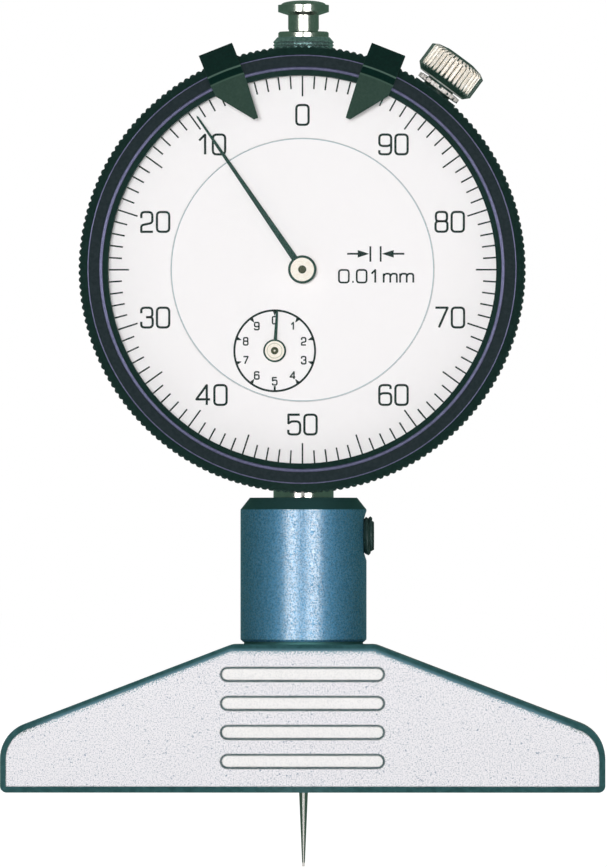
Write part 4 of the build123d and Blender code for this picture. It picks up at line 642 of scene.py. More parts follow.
def satin_bezel(name):
    """The bezel: grey front between its beads, dark green slope inside them and knurl outside them."""
    material, tree, shader = new_material(name)
    front, grain = grained(tree, (0.013, 0.022, 0.026), (0.008, 0.016, 0.019), SPECK_MIDDLE)
    green = mixed(tree, grain, (0.011, 0.030, 0.026), (0.008, 0.023, 0.019))
    slope = beyond_radius(tree, DIAL_FOOT, DEPTH, INNER_BEAD_RADIUS - SOFT_BORDER, INNER_BEAD_RADIUS)
    knurl = beyond_radius(tree, DIAL_FOOT, DEPTH, OUTER_BEAD_RADIUS, OUTER_BEAD_RADIUS + SOFT_BORDER)
    colour = mixed(tree, slope, green, front)
    colour = mixed(tree, knurl, colour, green)
    colour = worn(tree, colour, WEAR_NARROW, 0.35, (0.022, 0.048, 0.046))
    dressed(tree, shader, colour, (0.3, 0.4), grain, RELIEF_SLIGHT)
    shader.inputs["Specular IOR Level"].default_value = 0.06
    return material


def ridged_thumb_screw(name):
    """Thumb screw in painted light: cream highlights on the ridges, dark green shade in the valleys between
    them.

    It has a ribbed upper bevel of highlight and shade and a shaded dark rim. Its foot has a light highlight
    line with shade below it, and its flanks are painted shade.
    """
    material, tree, shader = new_material(name)
    # Painted shade in the valleys, rim and foot, and on the flanks that turn from the light.
    dark, flank_shade = (0.020, 0.055, 0.040), (0.085, 0.135, 0.112)
    # Painted highlight: the ridges are cream.
    crest, grain = grained(tree, (1.0, 0.955, 0.89), (0.93, 0.82, 0.68), SPECK_FINE, squeeze=ALONG_CLAMP)
    lower, upper = CLAMP_HEAD_START + CLAMP_HEAD_ROUNDING, CLAMP_HEAD_END - CLAMP_HEAD_ROUNDING
    ridge = beyond_radius(
        tree, CLAMP_FOOT, CLAMP_AXIS, CLAMP_HEAD_RADIUS - CLAMP_VALLEY_DEPTH,
        CLAMP_HEAD_RADIUS - CLAMP_CREST_DEPTH,
    )
    rising = further_along(tree, CLAMP_FOOT, CLAMP_AXIS, lower, lower + CLAMP_POINTS)
    pointed = ranged(tree, maths(tree, "ADD", ridge, rising), From_Min=1.0, From_Max=1.4)
    colour = mixed(tree, pointed, dark, crest)

    sideways = CLAMP_AXIS.cross(DEPTH)
    # Painted highlights and shade in ribs round the upper bevel.
    ribs = placed(tree, RIBS, Foot=CLAMP_FOOT * MM, Side=sideways, Count=CLAMP_RIDGES)
    top = further_along(tree, CLAMP_FOOT, CLAMP_AXIS, upper - SOFT_BORDER, upper)
    colour = mixed(tree, top, colour, mixed(tree, ribs, dark, crest))
    dish = CLAMP_HEAD_END - CLAMP_HEAD_DISH
    rim = further_along(tree, CLAMP_FOOT, CLAMP_AXIS, dish - SOFT_BORDER, dish)
    # Painted shade on the rim.
    colour = mixed(tree, rim, colour, (0.030, 0.070, 0.055))
    # A painted highlight line at the foot of the head, with painted shade below it.
    for place, shade in ((CLAMP_HEAD_START + SOFT_BORDER, (0.62, 0.66, 0.62)), (CLAMP_HEAD_START, dark)):
        past = further_along(tree, CLAMP_FOOT, CLAMP_AXIS, place - SOFT_BORDER / 2, place)
        colour = mixed(tree, past, shade, colour)
    # Painted shade on the flanks.
    for side in (sideways, -sideways):
        flank = further_along(tree, CLAMP_FOOT, side, CLAMP_FLANK_SHADE_FROM, CLAMP_FLANK_SHADE_FROM + SOFT_BORDER)
        colour = mixed(tree, flank, colour, flank_shade)
    dressed(tree, shader, colour, (0.3, 0.4), grain, RELIEF_SLIGHT)
    shader.inputs["Metallic"].default_value = 0.1
    return material


def serrated_collar(name):
    """Collar: painted pinkish white highlights on the teeth, with painted shade in dark green between them
    and round its edges.
    """
    material, tree, shader = new_material(name)
    # Painted shade between the teeth and round the edges; the random marks take this colour too.
    dark = (0.010, 0.035, 0.028)
    # Painted highlight: pinkish white on the teeth.
    tooth_highlight, grain = grained(tree, (1.0, 0.95, 0.92), (0.74, 0.68, 0.62), SPECK_FINE, 0.35, 0.65)
    crest = beyond_radius(
        tree, CLAMP_FOOT, CLAMP_AXIS, COLLAR_RADIUS - SERRATION_DEPTH, COLLAR_RADIUS,
    )
    colour = mixed(tree, crest, dark, tooth_highlight)
    marks = placed(tree, GRAIN, Size=SPECK_MIDDLE * MM, Squeeze=ALONG_CLAMP, Low=0.56, High=0.6)
    colour = mixed(tree, marks, colour, dark)
    middle = CLAMP_FOOT + CLAMP_AXIS * COLLAR_MIDDLE
    for side in (CLAMP_AXIS, -CLAMP_AXIS):
        border = further_along(
            tree, middle, side, SERRATION_HALF_WIDTH - SOFT_BORDER / 2, SERRATION_HALF_WIDTH,
        )
        colour = mixed(tree, border, colour, dark)
    dressed(tree, shader, colour, (0.3, 0.4), grain, RELIEF_SLIGHT)
    return material


def thin_plating(tree, facing, across, below):
    """A mask of the light band beside the ragged border, along the slopes and short of the corners."""
    begun = ranged(
        tree, below, From_Min=BASE_CHAMFER * LIGHT_BAND_FROM * MM, From_Max=BASE_CHAMFER * MM,
    )
    over = ranged(
        tree, below, From_Min=(BASE_CHAMFER + RAGGED_REACH) * MM,
        From_Max=(BASE_CHAMFER + 2 * RAGGED_REACH) * MM,
    )
    band = maths(tree, "SUBTRACT", begun, over, clamp=True)
    short_of_corner = ranged(
        tree, across, From_Min=(BASE_HALF_LENGTH - BASE_CORNER) * MM,
        From_Max=(BASE_HALF_LENGTH - BASE_CORNER / 2) * MM, To_Min=1.0, To_Max=0.0,
    )
    to_front_or_back = ranged(tree, facing, From_Min=BEVEL_FACING[0], From_Max=BEVEL_FACING[1])
    slope = maths(tree, "MULTIPLY", short_of_corner, to_front_or_back)
    return maths(tree, "MULTIPLY", band, slope)


def ground_and_plated(name):
    """The base: front and back ground bright with blue specks, the rest a blue coat darkened to blue green
    as painted shade.

    The dark coat runs over the upper edges of the ground faces with a ragged border.
    """
    material, tree, shader = new_material(name)
    surface = node(tree, "ShaderNodeNewGeometry")
    normal = node(tree, "ShaderNodeSeparateXYZ", Vector=surface.outputs["True Normal"])
    facing = maths(tree, "ABSOLUTE", normal.outputs["Y"])
    place = node(tree, "ShaderNodeSeparateXYZ", Vector=own_place(tree))
    across = maths(tree, "ABSOLUTE", place.outputs["X"])
    upper_edge = ranged(
        tree, across, From_Min=BASE_TOP_HALF_WIDTH * MM, From_Max=BASE_HALF_LENGTH * MM,
        To_Min=BASE_HEIGHT * MM, To_Max=BASE_END_HEIGHT * MM,
    )
    below = maths(tree, "SUBTRACT", upper_edge, place.outputs["Z"])

    torn = placed(tree, GRAIN, Size=SPECK_BLAST * MM, Low=0.35, High=0.65)
    border = ranged(
        tree, torn, To_Min=(BASE_CHAMFER - RAGGED_REACH / 2) * MM,
        To_Max=(BASE_CHAMFER + RAGGED_REACH) * MM,
    )
    flat = ranged(tree, facing, From_Min=FLAT_FACING[0], From_Max=FLAT_FACING[1])
    ground = maths(tree, "MULTIPLY", maths(tree, "GREATER_THAN", below, border), flat)

    steel, fine = grained(tree, (0.86, 0.84, 0.865), (0.44, 0.47, 0.52), SPECK_BLAST, 0.44, 0.68)
    specks = placed(tree, GRAIN, Size=SPECK_FINE * MM, Low=0.62, High=0.72)
    steel = mixed(tree, specks, steel, (0.16, 0.23, 0.32))
    # Painted light: the recess floors are lighter and less speckled, against the shade that falls into
    # them.
    recess = further_along(
        tree, ORIGIN, DEPTH, BASE_FRONT + RECESS_DEPTH_SEEN, BASE_FRONT + 2 * RECESS_DEPTH_SEEN,
    )
    lit_recess_floor = mixed(tree, fine, (0.90, 0.88, 0.87), (0.78, 0.77, 0.77))
    steel = mixed(tree, recess, steel, lit_recess_floor)
    # Painted shade: a near black outline along the edges of the recesses.
    steel = worn(tree, steel, RECESS_OUTLINE, 3.0, (0.0, 0.020, 0.020))

    # Painted shade: the coat is dark blue green on every face that doesn't face front or back.
    shaded_coat = grained(tree, (0.036, 0.115, 0.120), (0.022, 0.082, 0.084), SPECK_COARSE, 0.35, 0.65)[0]
    shaded_coat = worn(tree, shaded_coat, WEAR_BROAD, 0.3, (0.11, 0.24, 0.32))
    shaded_coat = mixed(tree, thin_plating(tree, facing, across, below), shaded_coat, (0.13, 0.27, 0.33))
    dressed(tree, shader, mixed(tree, ground, shaded_coat, steel), (0.4, 0.52), fine, RELIEF_SATIN)
    shader.inputs["Specular IOR Level"].default_value = 0.3
    return material


def folded_sheet(name):
    """The markers: painted shade above the upper fold, green below the lower one, painted highlight lines
    along each fold.
    """
    material, tree, shader = new_material(name)
    flap, grain = grained(tree, (0.029, 0.058, 0.044), (0.023, 0.049, 0.037), SPECK_FINE)
    # Painted shade: the part beyond the inner fold is darker.
    shaded_hood = mixed(tree, grain, (0.001, 0.015, 0.011), (0.0005, 0.010, 0.008))
    line, core = MARKER_LINE_WIDTH, MARKER_LINE_WIDTH / 3
    above = beyond_radius(tree, DIAL_FOOT, DEPTH, MARKER_FOLD_INNER, MARKER_FOLD_INNER + line / 2)
    colour = mixed(tree, above, flap, shaded_hood)
    # Painted highlights: light lines along both fold lines.
    fold_highlights = ((MARKER_FOLD_INNER, (0.043, 0.082, 0.062)), (MARKER_FOLD_OUTER, (0.065, 0.115, 0.092)))
    for fold, shade in fold_highlights:
        rise = beyond_radius(tree, DIAL_FOOT, DEPTH, fold - line, fold - core)
        fall = beyond_radius(tree, DIAL_FOOT, DEPTH, fold + core, fold + line)
        lit = maths(tree, "SUBTRACT", rise, fall, clamp=True)
        colour = mixed(tree, lit, colour, shade)
    colour = worn(tree, colour, WEAR_NARROW, 0.35, (0.05, 0.1, 0.08))
    dressed(tree, shader, colour, (0.34, 0.46), grain, RELIEF_SLIGHT)
    shader.inputs["Specular IOR Level"].default_value = 0.04
    return material


def mixed_shaders(tree, factor, first, second):
    """A mix of two shaders."""
    made = node(tree, "ShaderNodeMixShader", Fac=factor)
    tree.links.new(first, made.inputs[1])
    tree.links.new(second, made.inputs[2])
    return made.outputs["Shader"]


def clear_glass(name):
    """Clear glass that lets the light through to the dial."""
    material, tree, shader = new_material(name)
    shader.inputs["Base Color"].default_value = (0.99, 1.0, 0.995, 1.0)
    shader.inputs["Transmission Weight"].default_value = 1.0
    shader.inputs["IOR"].default_value = 1.4
    gloss = placed(tree, HANDLING, Smooth=0.0, Rough=0.02)
    tree.links.new(gloss, shader.inputs["Roughness"])
    rays = node(tree, "ShaderNodeLightPath").outputs
    through = maths(tree, "MAXIMUM", rays["Is Shadow Ray"], rays["Is Diffuse Ray"])
    clear = node(tree, "ShaderNodeBsdfTransparent")
    both = mixed_shaders(tree, through, shader.outputs["BSDF"], clear.outputs["BSDF"])
    tree.links.new(both, tree.nodes["Material Output"].inputs["Surface"])
    return material


THUMB_SCREW_FINISH = ridged_thumb_screw("thumb_screw_ridged")
COLLAR_FINISH = serrated_collar("collar_serrated")
SLEEVE_FINISH = blasted_and_coated("sleeve_blasted_blue")
BEZEL_FINISH = satin_bezel("bezel_satin_black")
BASE_FINISH = ground_and_plated("base_ground_and_shaded_coat")
MARKER_FINISH = folded_sheet("marker_folded_sheet")
CRYSTAL_FINISH = clear_glass("crystal_glass")
# Painted highlight: the beads are light purple where the bezel's rounded edges catch the light.
BEAD_HIGHLIGHT_FINISH = finish(
    "bezel_edge_painted_highlight", (0.095, 0.095, 0.165), (0.070, 0.072, 0.125), speck=SPECK_MIDDLE,
    metallic=0.75, roughness=(0.3, 0.4), specular=0.2,
)
CASE_FINISH = finish(
    "case_satin_black", (0.010, 0.026, 0.022), (0.007, 0.018, 0.016), speck=SPECK_FINE,
    roughness=(0.3, 0.42), relief=RELIEF_SATIN, edge_wear_and_glint=(0.06, 0.09, 0.085), specular=0.3,
)
SCREW_FINISH = finish(
    "set_screw_black_oxide", (0.008, 0.024, 0.022), (0.014, 0.034, 0.03), speck=SPECK_FINE,
    roughness=(0.3, 0.42), edge_wear_and_glint=(0.1, 0.14, 0.13), edge_wear_and_glint_amount=0.5, specular=0.3,
)
POLISHED_FINISH = finish(
    "polished_steel", (0.58, 0.56, 0.53), (0.50, 0.50, 0.47), speck=SPECK_COARSE, squeeze=ALONG_HEIGHT,
    metallic=1.0, roughness=(0.1, 0.17), edge_wear_and_glint=(0.75, 0.72, 0.68), edge_wear_and_glint_amount=0.4,
)
KNOB_FINISH = finish(
    "knob_satin_steel", (0.66, 0.66, 0.61), (0.56, 0.57, 0.52), speck=SPECK_COARSE,
    metallic=1.0, roughness=(0.2, 0.28), edge_wear_and_glint=(0.8, 0.78, 0.72), edge_wear_and_glint_amount=0.5,
)
# Painted highlight: the light edge colour puts white glints on the bush's thread.
BUSH_FINISH = finish(
    "bush_dull_plated", (0.55, 0.70, 0.70), (0.30, 0.42, 0.42), speck=SPECK_FINE, metallic=0.9,
    roughness=(0.16, 0.26), relief=RELIEF_SATIN, edge_wear_and_glint=(0.75, 0.85, 0.85), edge_wear_and_glint_amount=0.8,
)
STEEL_FINISH = finish(
    "turned_steel", (0.56, 0.57, 0.58), (0.46, 0.47, 0.48), speck=SPECK_MIDDLE, squeeze=ALONG_DEPTH,
    metallic=1.0, roughness=(0.25, 0.38), edge_wear_and_glint=(0.75, 0.75, 0.74),
)
BRASS_FINISH = finish(
    "turned_brass", (0.72, 0.55, 0.26), (0.62, 0.46, 0.2), speck=SPECK_MIDDLE, squeeze=ALONG_DEPTH,
    metallic=1.0, roughness=(0.22, 0.34), edge_wear_and_glint=(0.85, 0.68, 0.36),
)
DIAL_FINISH = finish(
    "dial_matt_white", (0.93, 0.90, 0.91), (0.915, 0.885, 0.895), speck=SPECK_COARSE,
    roughness=(0.5, 0.6), specular=0.2,
)
INK_FINISH = finish(
    "dial_print_green", (0.001, 0.014, 0.011), (0.002, 0.020, 0.016), speck=SPECK_FINE,
    roughness=(0.5, 0.6), specular=0.01,
)
FINE_INK_FINISH = finish(
    "dial_print_faint_olive", (0.36, 0.38, 0.27), (0.30, 0.32, 0.22), speck=SPECK_FINE,
    roughness=(0.5, 0.6), specular=0.1,
)
# Painted shade for the gap between the fixed centre and the turning ring.
GAP_SHADE_FINISH = finish(
    "dial_gap_painted_shade", (0.30, 0.42, 0.46), (0.26, 0.37, 0.41), speck=SPECK_FINE,
    roughness=(0.5, 0.6), specular=0.05,
)
POINTER_FINISH = finish(
    "pointer_dark_green", (0.004, 0.042, 0.030), (0.003, 0.034, 0.025), speck=SPECK_FINE,
    roughness=(0.34, 0.44), edge_wear_and_glint=(0.02, 0.08, 0.06), edge_wear_and_glint_amount=0.3, specular=0.08,
)
HUB_FINISH = finish(
    "hub_satin_cream", (0.88, 0.83, 0.75), (0.82, 0.74, 0.64), speck=SPECK_FINE,
    roughness=(0.3, 0.4), edge_wear_and_glint=(0.9, 0.86, 0.8), specular=0.4,
)
ARBOR_FINISH = finish(
    "arbor_end_olive", (0.035, 0.045, 0.02), (0.05, 0.06, 0.028), speck=SPECK_FINE, roughness=(0.2, 0.3),
    specular=0.1,
)
RUBBER_FINISH = finish(
    "seal_rubber", (0.02, 0.022, 0.021), (0.014, 0.015, 0.015), speck=SPECK_FINE,
    roughness=(0.6, 0.75), relief=RELIEF_SATIN,
)
RUBY_FINISH = finish(
    "bearing_ruby", (0.42, 0.03, 0.07), (0.34, 0.02, 0.05), speck=SPECK_COARSE, roughness=(0.08, 0.15),
)

SLOT_FINISHES = {
    "base_block": BASE_FINISH, "sleeve_satin": SLEEVE_FINISH, "black_screw": SCREW_FINISH,
    "bezel_black": BEZEL_FINISH, "case_black": CASE_FINISH, "marker_black": MARKER_FINISH,
    "polished_steel": POLISHED_FINISH, "bright_chrome": BUSH_FINISH, "plain_steel": STEEL_FINISH,
    "clock_brass": BRASS_FINISH, "dial_white": DIAL_FINISH, "pointer_green": POINTER_FINISH,
    "hub_cream": HUB_FINISH, "crystal": CRYSTAL_FINISH, "seal_rubber": RUBBER_FINISH, "jewel": RUBY_FINISH,
}
NODE_FINISHES = {
    "clamp_screw": THUMB_SCREW_FINISH, "clamp_collar": COLLAR_FINISH, "lifting_knob": KNOB_FINISH,
}
for row in frame["record"]["subparts"]:
    chosen = NODE_FINISHES.get(row["node"], SLOT_FINISHES[row["material_slot"]])
    slots = frame["nodes"][row["node"]].data.materials
    if not slots:
        slots.append(None)
    for index in range(len(slots)):
        slots[index] = chosen


# Print on the turning ring
def dial_graduations():
    """A hundred lines round the dial, every fifth one longer."""
    mesh = bmesh.new()
    for index in range(GRADUATIONS):
        angle = 360 * index / GRADUATIONS
        inner = LONG_GRADUATION_INNER if index % LONG_GRADUATION_EVERY == 0 else SHORT_GRADUATION_INNER
        inked_line(mesh, [around(inner, angle), around(GRADUATION_OUTER, angle)], GRADUATION_WIDTH, False)
    return mesh


def dial_numerals():
    """The tens from 0 to 90, which run anticlockwise."""
    mesh = bmesh.new()
    for tens in range(NUMERALS):
        centre = around(NUMERAL_CIRCLE, -360 * tens / NUMERALS)
        write_centred(mesh, str(tens * 10), centre, NUMERAL_HEIGHT, NUMERAL_STROKE, NUMERAL_GAP)
    return mesh


piece("dial_graduations", dial_graduations(), INK_FINISH, "bezel")
piece("dial_numerals", dial_numerals(), INK_FINISH, "bezel")


# Print on the fixed centre, and a line of painted shade at its edge
def counter_scale():
    """The circle of the turns counter, its ten figures and inward pointing ticks."""
    mesh = bmesh.new()
    inked_circle(mesh, COUNTER_CIRCLE, COUNTER_CIRCLE_WIDTH, COUNTER)
    for turns in range(COUNTER_TURNS):
        angle = 360 * turns / COUNTER_TURNS
        tick = [around(COUNTER_CIRCLE, angle), around(COUNTER_CIRCLE - COUNTER_TICK_LENGTH, angle)]
        width = [COUNTER_TICK_WIDTH, COUNTER_TICK_TIP]
        if turns == COUNTER_BAR_TURN:
            width = COUNTER_CIRCLE_WIDTH
        inked_line(mesh, tick, width, False, COUNTER)
        centre = around(COUNTER_NUMERAL_CIRCLE, angle)
        write_centred(
            mesh, str(turns), centre, COUNTER_NUMERAL_HEIGHT, COUNTER_NUMERAL_STROKE, middle=COUNTER,
        )
    return mesh


def border_line():
    """A fine line of painted shade that borders the fixed centre, standing for the gap round it."""
    mesh = bmesh.new()
    inked_circle(mesh, RING_BORE - GAP_SHADE_WIDTH, GAP_SHADE_WIDTH)
    return mesh


def resolution_mark():
    """The sign for the worth of one division: two lines, two arrows and 0.01 mm."""
    mesh = bmesh.new()
    for across in MARK_BARS:
        bar = [Vector((across, MARK_BAR_FOOT)), Vector((across, MARK_BAR_TOP))]
        inked_line(mesh, bar, MARK_STROKE, False)
    for tail, neck, tip in MARK_ARROWS:
        line = [Vector((across, MARK_ARROW_HEIGHT)) for across in (tail, neck, tip)]
        inked_line(mesh, line[:2], MARK_STROKE, False)
        inked_line(mesh, line[1:], [MARK_ARROW_WIDTH, MARK_ARROW_TIP], False)
    for letter, left in MARK_FIGURES:
        write(mesh, [letter], (left, MARK_FOOT), MARK_FIGURE_HEIGHT, MARK_STROKE)
    return mesh


piece("counter_scale", counter_scale(), INK_FINISH, "gauge_head")
piece("resolution_mark", resolution_mark(), INK_FINISH, "gauge_head")
piece("centre_gap_painted_shade", border_line(), GAP_SHADE_FINISH, "gauge_head")


# Beads on the front of the bezel, their light purple a painted highlight
def bezel_bead(radius, width):
    """The rounded, polished edge where the bezel's front meets a slope; its light purple finish is a
    painted highlight.
    """
    mesh = bmesh.new()
    half = width / 2
    foot = BEZEL_FRONT + BEAD_SINK
    profile = [(radius - half, foot), (radius + half, foot)]
    for step in range(BEAD_STEPS + 1):
        angle = math.pi * step / BEAD_STEPS
        rise = width * BEAD_RISE_SHARE * math.sin(angle)
        profile.append((radius + half * math.cos(angle), BEZEL_FRONT - rise))
    turned(mesh, profile)
    return mesh


inner_bead = bezel_bead(INNER_BEAD_RADIUS, INNER_BEAD_WIDTH)
outer_bead = bezel_bead(OUTER_BEAD_RADIUS, OUTER_BEAD_WIDTH)
piece("bezel_inner_bead", inner_bead, BEAD_HIGHLIGHT_FINISH, "bezel")
piece("bezel_outer_bead", outer_bead, BEAD_HIGHLIGHT_FINISH, "bezel")


# Dark rims, arbor ends and a painted highlight dot on the hubs
def hub_rim(outer, inner, front, middle):
    """A dark ring let into the edge of a hub."""
    mesh = bmesh.new()
    turned(mesh, [
        (inner, front + RIM_SINK), (outer, front + RIM_SINK), (outer, front),
        (outer - RIM_ROUNDING, front - RIM_ROUNDING), (inner + RIM_ROUNDING, front - RIM_ROUNDING),
        (inner, front),
    ], middle, SMALL_RING_STEPS)
    return mesh


def arbor_end(radius, front, middle):
    """The domed end of an arbor, which shows in the middle of its hub."""
    mesh = bmesh.new()
    dome(mesh, radius, front, ARBOR_END_RISE, middle)
    return mesh


def hub_line():
    """A fine turned line on the face of the counter's hub."""
    mesh = bmesh.new()
    half = COUNTER_LINE_WIDTH / 2
    inner, outer = COUNTER_LINE_RADIUS - half, COUNTER_LINE_RADIUS + half
    front, back = COUNTER_HUB_FRONT - INK_THICKNESS, COUNTER_HUB_FRONT + INK_SINK
    turned(mesh, [(inner, back), (outer, back), (outer, front), (inner, front)], COUNTER, SMALL_RING_STEPS)
    return mesh


main_rim = hub_rim(MAIN_HUB_RADIUS + RIM_PROUD, MAIN_HUB_RADIUS - MAIN_RIM_WIDTH, MAIN_HUB_FRONT, CENTRE)
counter_rim = hub_rim(
    COUNTER_HUB_RADIUS + RIM_PROUD, COUNTER_HUB_RADIUS - COUNTER_RIM_WIDTH, COUNTER_HUB_FRONT, COUNTER,
)
main_end = arbor_end(MAIN_ARBOR_RADIUS, MAIN_HUB_FRONT, CENTRE)
counter_end = arbor_end(COUNTER_ARBOR_RADIUS, COUNTER_HUB_FRONT, COUNTER)
# Painted highlight: a small cream dot on the counter arbor's domed end.
counter_highlight = arbor_end(COUNTER_HIGHLIGHT_RADIUS, COUNTER_HUB_FRONT - ARBOR_END_RISE, COUNTER)
piece("main_hub_rim", main_rim, POINTER_FINISH, "centre_arbor")
piece("main_arbor_end", main_end, ARBOR_FINISH, "centre_arbor")
piece("counter_hub_rim", counter_rim, POINTER_FINISH, "counter_arbor")
piece("counter_hub_line", hub_line(), FINE_INK_FINISH, "counter_arbor")
piece("counter_arbor_end", counter_end, ARBOR_FINISH, "counter_arbor")
piece("counter_arbor_painted_highlight", counter_highlight, HUB_FINISH, "counter_arbor")


# Thread on the set screw
def set_screw_thread():
    """One ridge that winds round the end of the set screw, which lies along X."""
    mesh = bmesh.new()
    root = SET_SCREW_RADIUS - THREAD_SINK
    crest = SET_SCREW_RADIUS + THREAD_DEPTH
    half = THREAD_PITCH / 2
    length = SET_SCREW_END - THREAD_START - THREAD_PITCH
    count = int(THREAD_STEPS * length / THREAD_PITCH)
    tip = half * THREAD_CREST_SHARE
    section = [(-half, root), (-tip, crest), (tip, crest), (half, root)]
    fading = THREAD_FADE_SHARE * count
    rows = []
    for step in range(count + 1):
        angle = math.tau * step / THREAD_STEPS
        along = THREAD_START + half + length * step / count
        fade = min(1, step / fading, (count - step) / fading)
        breadth = THREAD_END_SHARE + (1 - THREAD_END_SHARE) * fade
        row = []
        for shift, radius in section:
            reach = root + (radius - root) * fade
            place = Vector((
                along + shift * breadth, reach * math.cos(angle),
                SET_SCREW_HEIGHT + reach * math.sin(angle),
            ))
            row.append(mesh.verts.new(place * MM))
        rows.append(row)
    bridge_rows(mesh, rows, False)
    return mesh


piece("set_screw_thread", set_screw_thread(), SCREW_FINISH, "stem_clamp_screw")


# Serrated band of the clamp collar
def at_clamp(radius, degrees, along):
    """A place round the axis of the clamp screw, at a distance along it from the axis of the dial."""
    angle = math.radians(degrees)
    spoke = CLAMP_AXIS.cross(DEPTH) * math.cos(angle) + DEPTH * math.sin(angle)
    return (CLAMP_FOOT + CLAMP_AXIS * along + spoke * radius) * MM


def collar_serration():
    """A toothed ring round the middle of the collar."""
    mesh = bmesh.new()
    low, high = COLLAR_MIDDLE - SERRATION_HALF_WIDTH, COLLAR_MIDDLE + SERRATION_HALF_WIDTH
    inner = COLLAR_RADIUS - SERRATION_WALL
    rows = []
    for index in range(2 * SERRATIONS):
        angle = 180 * index / SERRATIONS
        outer = COLLAR_RADIUS + (SERRATION_DEPTH if index % 2 else -SERRATION_DEPTH / 2)
        profile = ((inner, low), (outer, low), (outer, high), (inner, high))
        rows.append([mesh.verts.new(at_clamp(radius, angle, along)) for radius, along in profile])
    bridge_rows(mesh, rows, True)
    return mesh


piece("collar_serration", collar_serration(), COLLAR_FINISH, "clamp_collar")

# Floor, light and camera, in metres and degrees
STAGE_HALF = 6.0
FLOOR_MATT_SHARE = 0.2
FLOOR_ALBEDO = 0.9
AMBIENT = 0.13
LAMP_DISTANCE = 1.2
CARD_RADIUS = 3.0
CARD_STEP = 10
CARD_LIFT = 0.0005
CARD_FRONT_OPENING = 30
CARD_COLOUR = (0.075, 0.145, 0.11, 1.0)
LENS_CARD_COLOUR = (0.004, 0.02, 0.016, 1.0)
LENS_CARD_SHARE = 1.05
LENS_CARD_RADIUS = 0.16
CAMERA_PLACE = Vector((0.0329, -2.0, 0.0342))
CAMERA_AIM = Vector((0.0, 0.0, 0.0475))
CAMERA_LENS = 626.3
CAMERA_SENSOR = 36.0

# Azimuth, elevation, width and height in degrees, radiance, and whether the lamp shows in shiny
# surfaces or else lights matt ones
LAMPS = {
    "strip_left": (-20.5, 2, 20.5, 20, 9.0, True),
    "strip_right": (18.5, 2, 22, 20, 9.0, True),
    "front_light": (-3, 3, 8, 8, 119.0, False),
    "left_light": (-105, 30, 50, 50, 0.8, False),
    "right_light": (105, 30, 50, 50, 0.8, False),
    "back_light": (180, 30, 60, 40, 1.8, False),
    "back_sheen": (180, 30, 50, 40, 2.0, True),
}


def direction(azimuth, elevation):
    """From the gauge outwards, where azimuth 0 is the front and 90 the right."""
    a, e = math.radians(azimuth), math.radians(elevation)
    return Vector((math.sin(a) * math.cos(e), -math.cos(a) * math.cos(e), math.sin(e)))


def stage_object(name, vertices, faces, material):
    """Something that stands round the gauge and isn't part of it."""
    data = bpy.data.meshes.new(name)
    data.from_pydata(vertices, [], faces)
    data.materials.append(material)
    made = bpy.data.objects.new(name, data)
    scene.collection.objects.link(made)
    return made


def ray_switch(tree):
    """1 for rays that come from the eye, straight or by way of metal and glass, and 0 for the others."""
    rays = node(tree, "ShaderNodeLightPath").outputs
    seen = maths(tree, "MAXIMUM", rays["Is Camera Ray"], rays["Is Glossy Ray"])
    return maths(tree, "MAXIMUM", seen, rays["Is Transmission Ray"])


def stage_material(name):
    """A material without a shader, its node tree and the input that its surface goes to."""
    material = bpy.data.materials.new(name)
    material.use_nodes = True
    tree = material.node_tree
    tree.nodes.clear()
    return material, tree, node(tree, "ShaderNodeOutputMaterial").inputs["Surface"]


def floor_white():
    """A white floor that keeps a faint shadow of the gauge and is pure white far from the lamps too."""
    material, tree, surface = stage_material("floor_white")
    matt = node(tree, "ShaderNodeBsdfDiffuse", Color=(FLOOR_ALBEDO, FLOOR_ALBEDO, FLOOR_ALBEDO, 1.0))
    rest = 1 - FLOOR_MATT_SHARE * FLOOR_ALBEDO * AMBIENT
    white = node(tree, "ShaderNodeEmission", Strength=rest / (1 - FLOOR_MATT_SHARE))
    both = mixed_shaders(tree, 1 - FLOOR_MATT_SHARE, matt.outputs["BSDF"], white.outputs["Emission"])
    tree.links.new(mixed_shaders(tree, ray_switch(tree), matt.outputs["BSDF"], both), surface)
    return material


def studio_world():
    """White behind the gauge and in its metal and glass, dimmer as light on the gauge."""
    world = bpy.data.worlds.new("studio")
    scene.world = world
    world.use_nodes = True
    tree = world.node_tree
    back = tree.nodes["Background"]
    back.inputs["Color"].default_value = (1.0, 1.0, 1.0, 1.0)
    level = ranged(tree, ray_switch(tree), To_Min=AMBIENT, To_Max=1.0)
    tree.links.new(level, back.inputs["Strength"])


def plain_glow(name, colour):
    """A material that shows one colour, whatever light falls on it."""
    material, tree, surface = stage_material(name)
    glow = node(tree, "ShaderNodeEmission", Color=colour, Strength=1.0)
    tree.links.new(glow.outputs["Emission"], surface)
    return material


def keep_out_of_picture(card):
    """Lets only polished surfaces show a card."""
    card.visible_camera = False
    card.visible_diffuse = False
    card.visible_shadow = False
    card.visible_transmission = False


def dark_card():
    """A dark card round the sides and top and on the floor, which only polished surfaces show.

    The floor stays bare in front of the gauge.
    """
    material = plain_glow("card_dark_green", CARD_COLOUR)
    foot = Vector((0, 0, FLOOR_HEIGHT * MM + CARD_LIFT))
    columns = 360 // CARD_STEP
    vertices, faces = [foot], []
    for elevation in range(0, 90 + CARD_STEP, CARD_STEP):
        for column in range(columns):
            vertices.append(foot + direction(column * CARD_STEP, elevation) * CARD_RADIUS)
    for column in range(columns):
        other = (column + 1) % columns
        for row in range(90 // CARD_STEP):
            near, far = 1 + row * columns, 1 + (row + 1) * columns
            faces.append((near + column, near + other, far + other, far + column))
        azimuth = column * CARD_STEP + CARD_STEP / 2
        if min(azimuth, 360 - azimuth) > CARD_FRONT_OPENING:
            faces.append((0, 1 + column, 1 + other))
    keep_out_of_picture(stage_object("dark_card", vertices, faces, material))


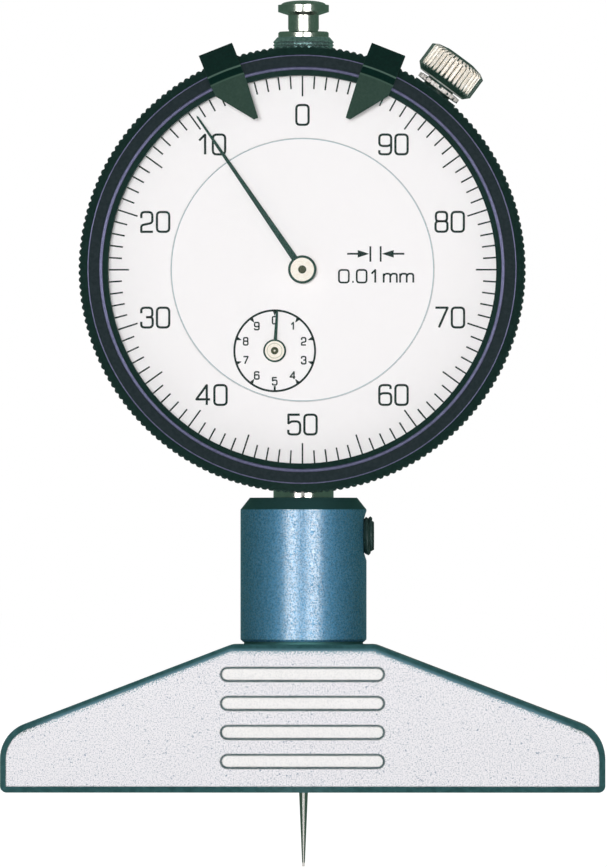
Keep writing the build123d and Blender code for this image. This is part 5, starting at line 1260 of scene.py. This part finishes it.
def lens_card():
    """A dark disc behind the eye, which takes the haze off flat polished faces that look that way."""
    material = plain_glow("card_behind_lens", LENS_CARD_COLOUR)
    middle = CAMERA_PLACE * LENS_CARD_SHARE
    rim = []
    for step in range(SMALL_RING_STEPS):
        angle = math.tau * step / SMALL_RING_STEPS
        rim.append(middle + Vector((math.cos(angle), 0, math.sin(angle))) * LENS_CARD_RADIUS)
    keep_out_of_picture(stage_object("lens_card", rim, [tuple(range(SMALL_RING_STEPS))], material))


def softbox(name, azimuth, elevation, width, height, radiance, in_gloss):
    """A rectangular lamp that faces the gauge, as wide and high as the given angles.

    It either shows in shiny surfaces or lights matt ones.
    """
    lamp = bpy.data.lights.new(name, "AREA")
    lamp.shape = "RECTANGLE"
    lamp.size = 2 * LAMP_DISTANCE * math.tan(math.radians(width / 2))
    lamp.size_y = 2 * LAMP_DISTANCE * math.tan(math.radians(height / 2))
    lamp.energy = radiance * math.pi * lamp.size * lamp.size_y
    made = bpy.data.objects.new(name, lamp)
    scene.collection.objects.link(made)
    away = direction(azimuth, elevation)
    made.location = Vector((0, 0, DIAL_HEIGHT / 2 * MM)) + away * LAMP_DISTANCE
    made.rotation_mode = "QUATERNION"
    made.rotation_quaternion = away.to_track_quat("Z", "Y")
    made.visible_camera = False
    made.visible_glossy = in_gloss
    made.visible_transmission = in_gloss
    made.visible_diffuse = not in_gloss


def floor():
    """The floor, level with the tip of the needle."""
    corners = []
    for across, back in ((-1, -1), (1, -1), (1, 1), (-1, 1)):
        corners.append((across * STAGE_HALF, back * STAGE_HALF, FLOOR_HEIGHT * MM))
    stage_object("floor", corners, [(0, 1, 2, 3)], floor_white())


def camera():
    """A long lens, a little to the right of the gauge."""
    lens = bpy.data.cameras.new("camera")
    lens.lens = CAMERA_LENS
    lens.sensor_width = CAMERA_SENSOR
    made = bpy.data.objects.new("camera", lens)
    scene.collection.objects.link(made)
    made.location = CAMERA_PLACE
    made.rotation_mode = "QUATERNION"
    made.rotation_quaternion = (CAMERA_AIM - CAMERA_PLACE).to_track_quat("-Z", "Y")
    scene.camera = made


floor()
studio_world()
dark_card()
lens_card()
for lamp_name, setting in LAMPS.items():
    softbox(lamp_name, *setting)
camera()
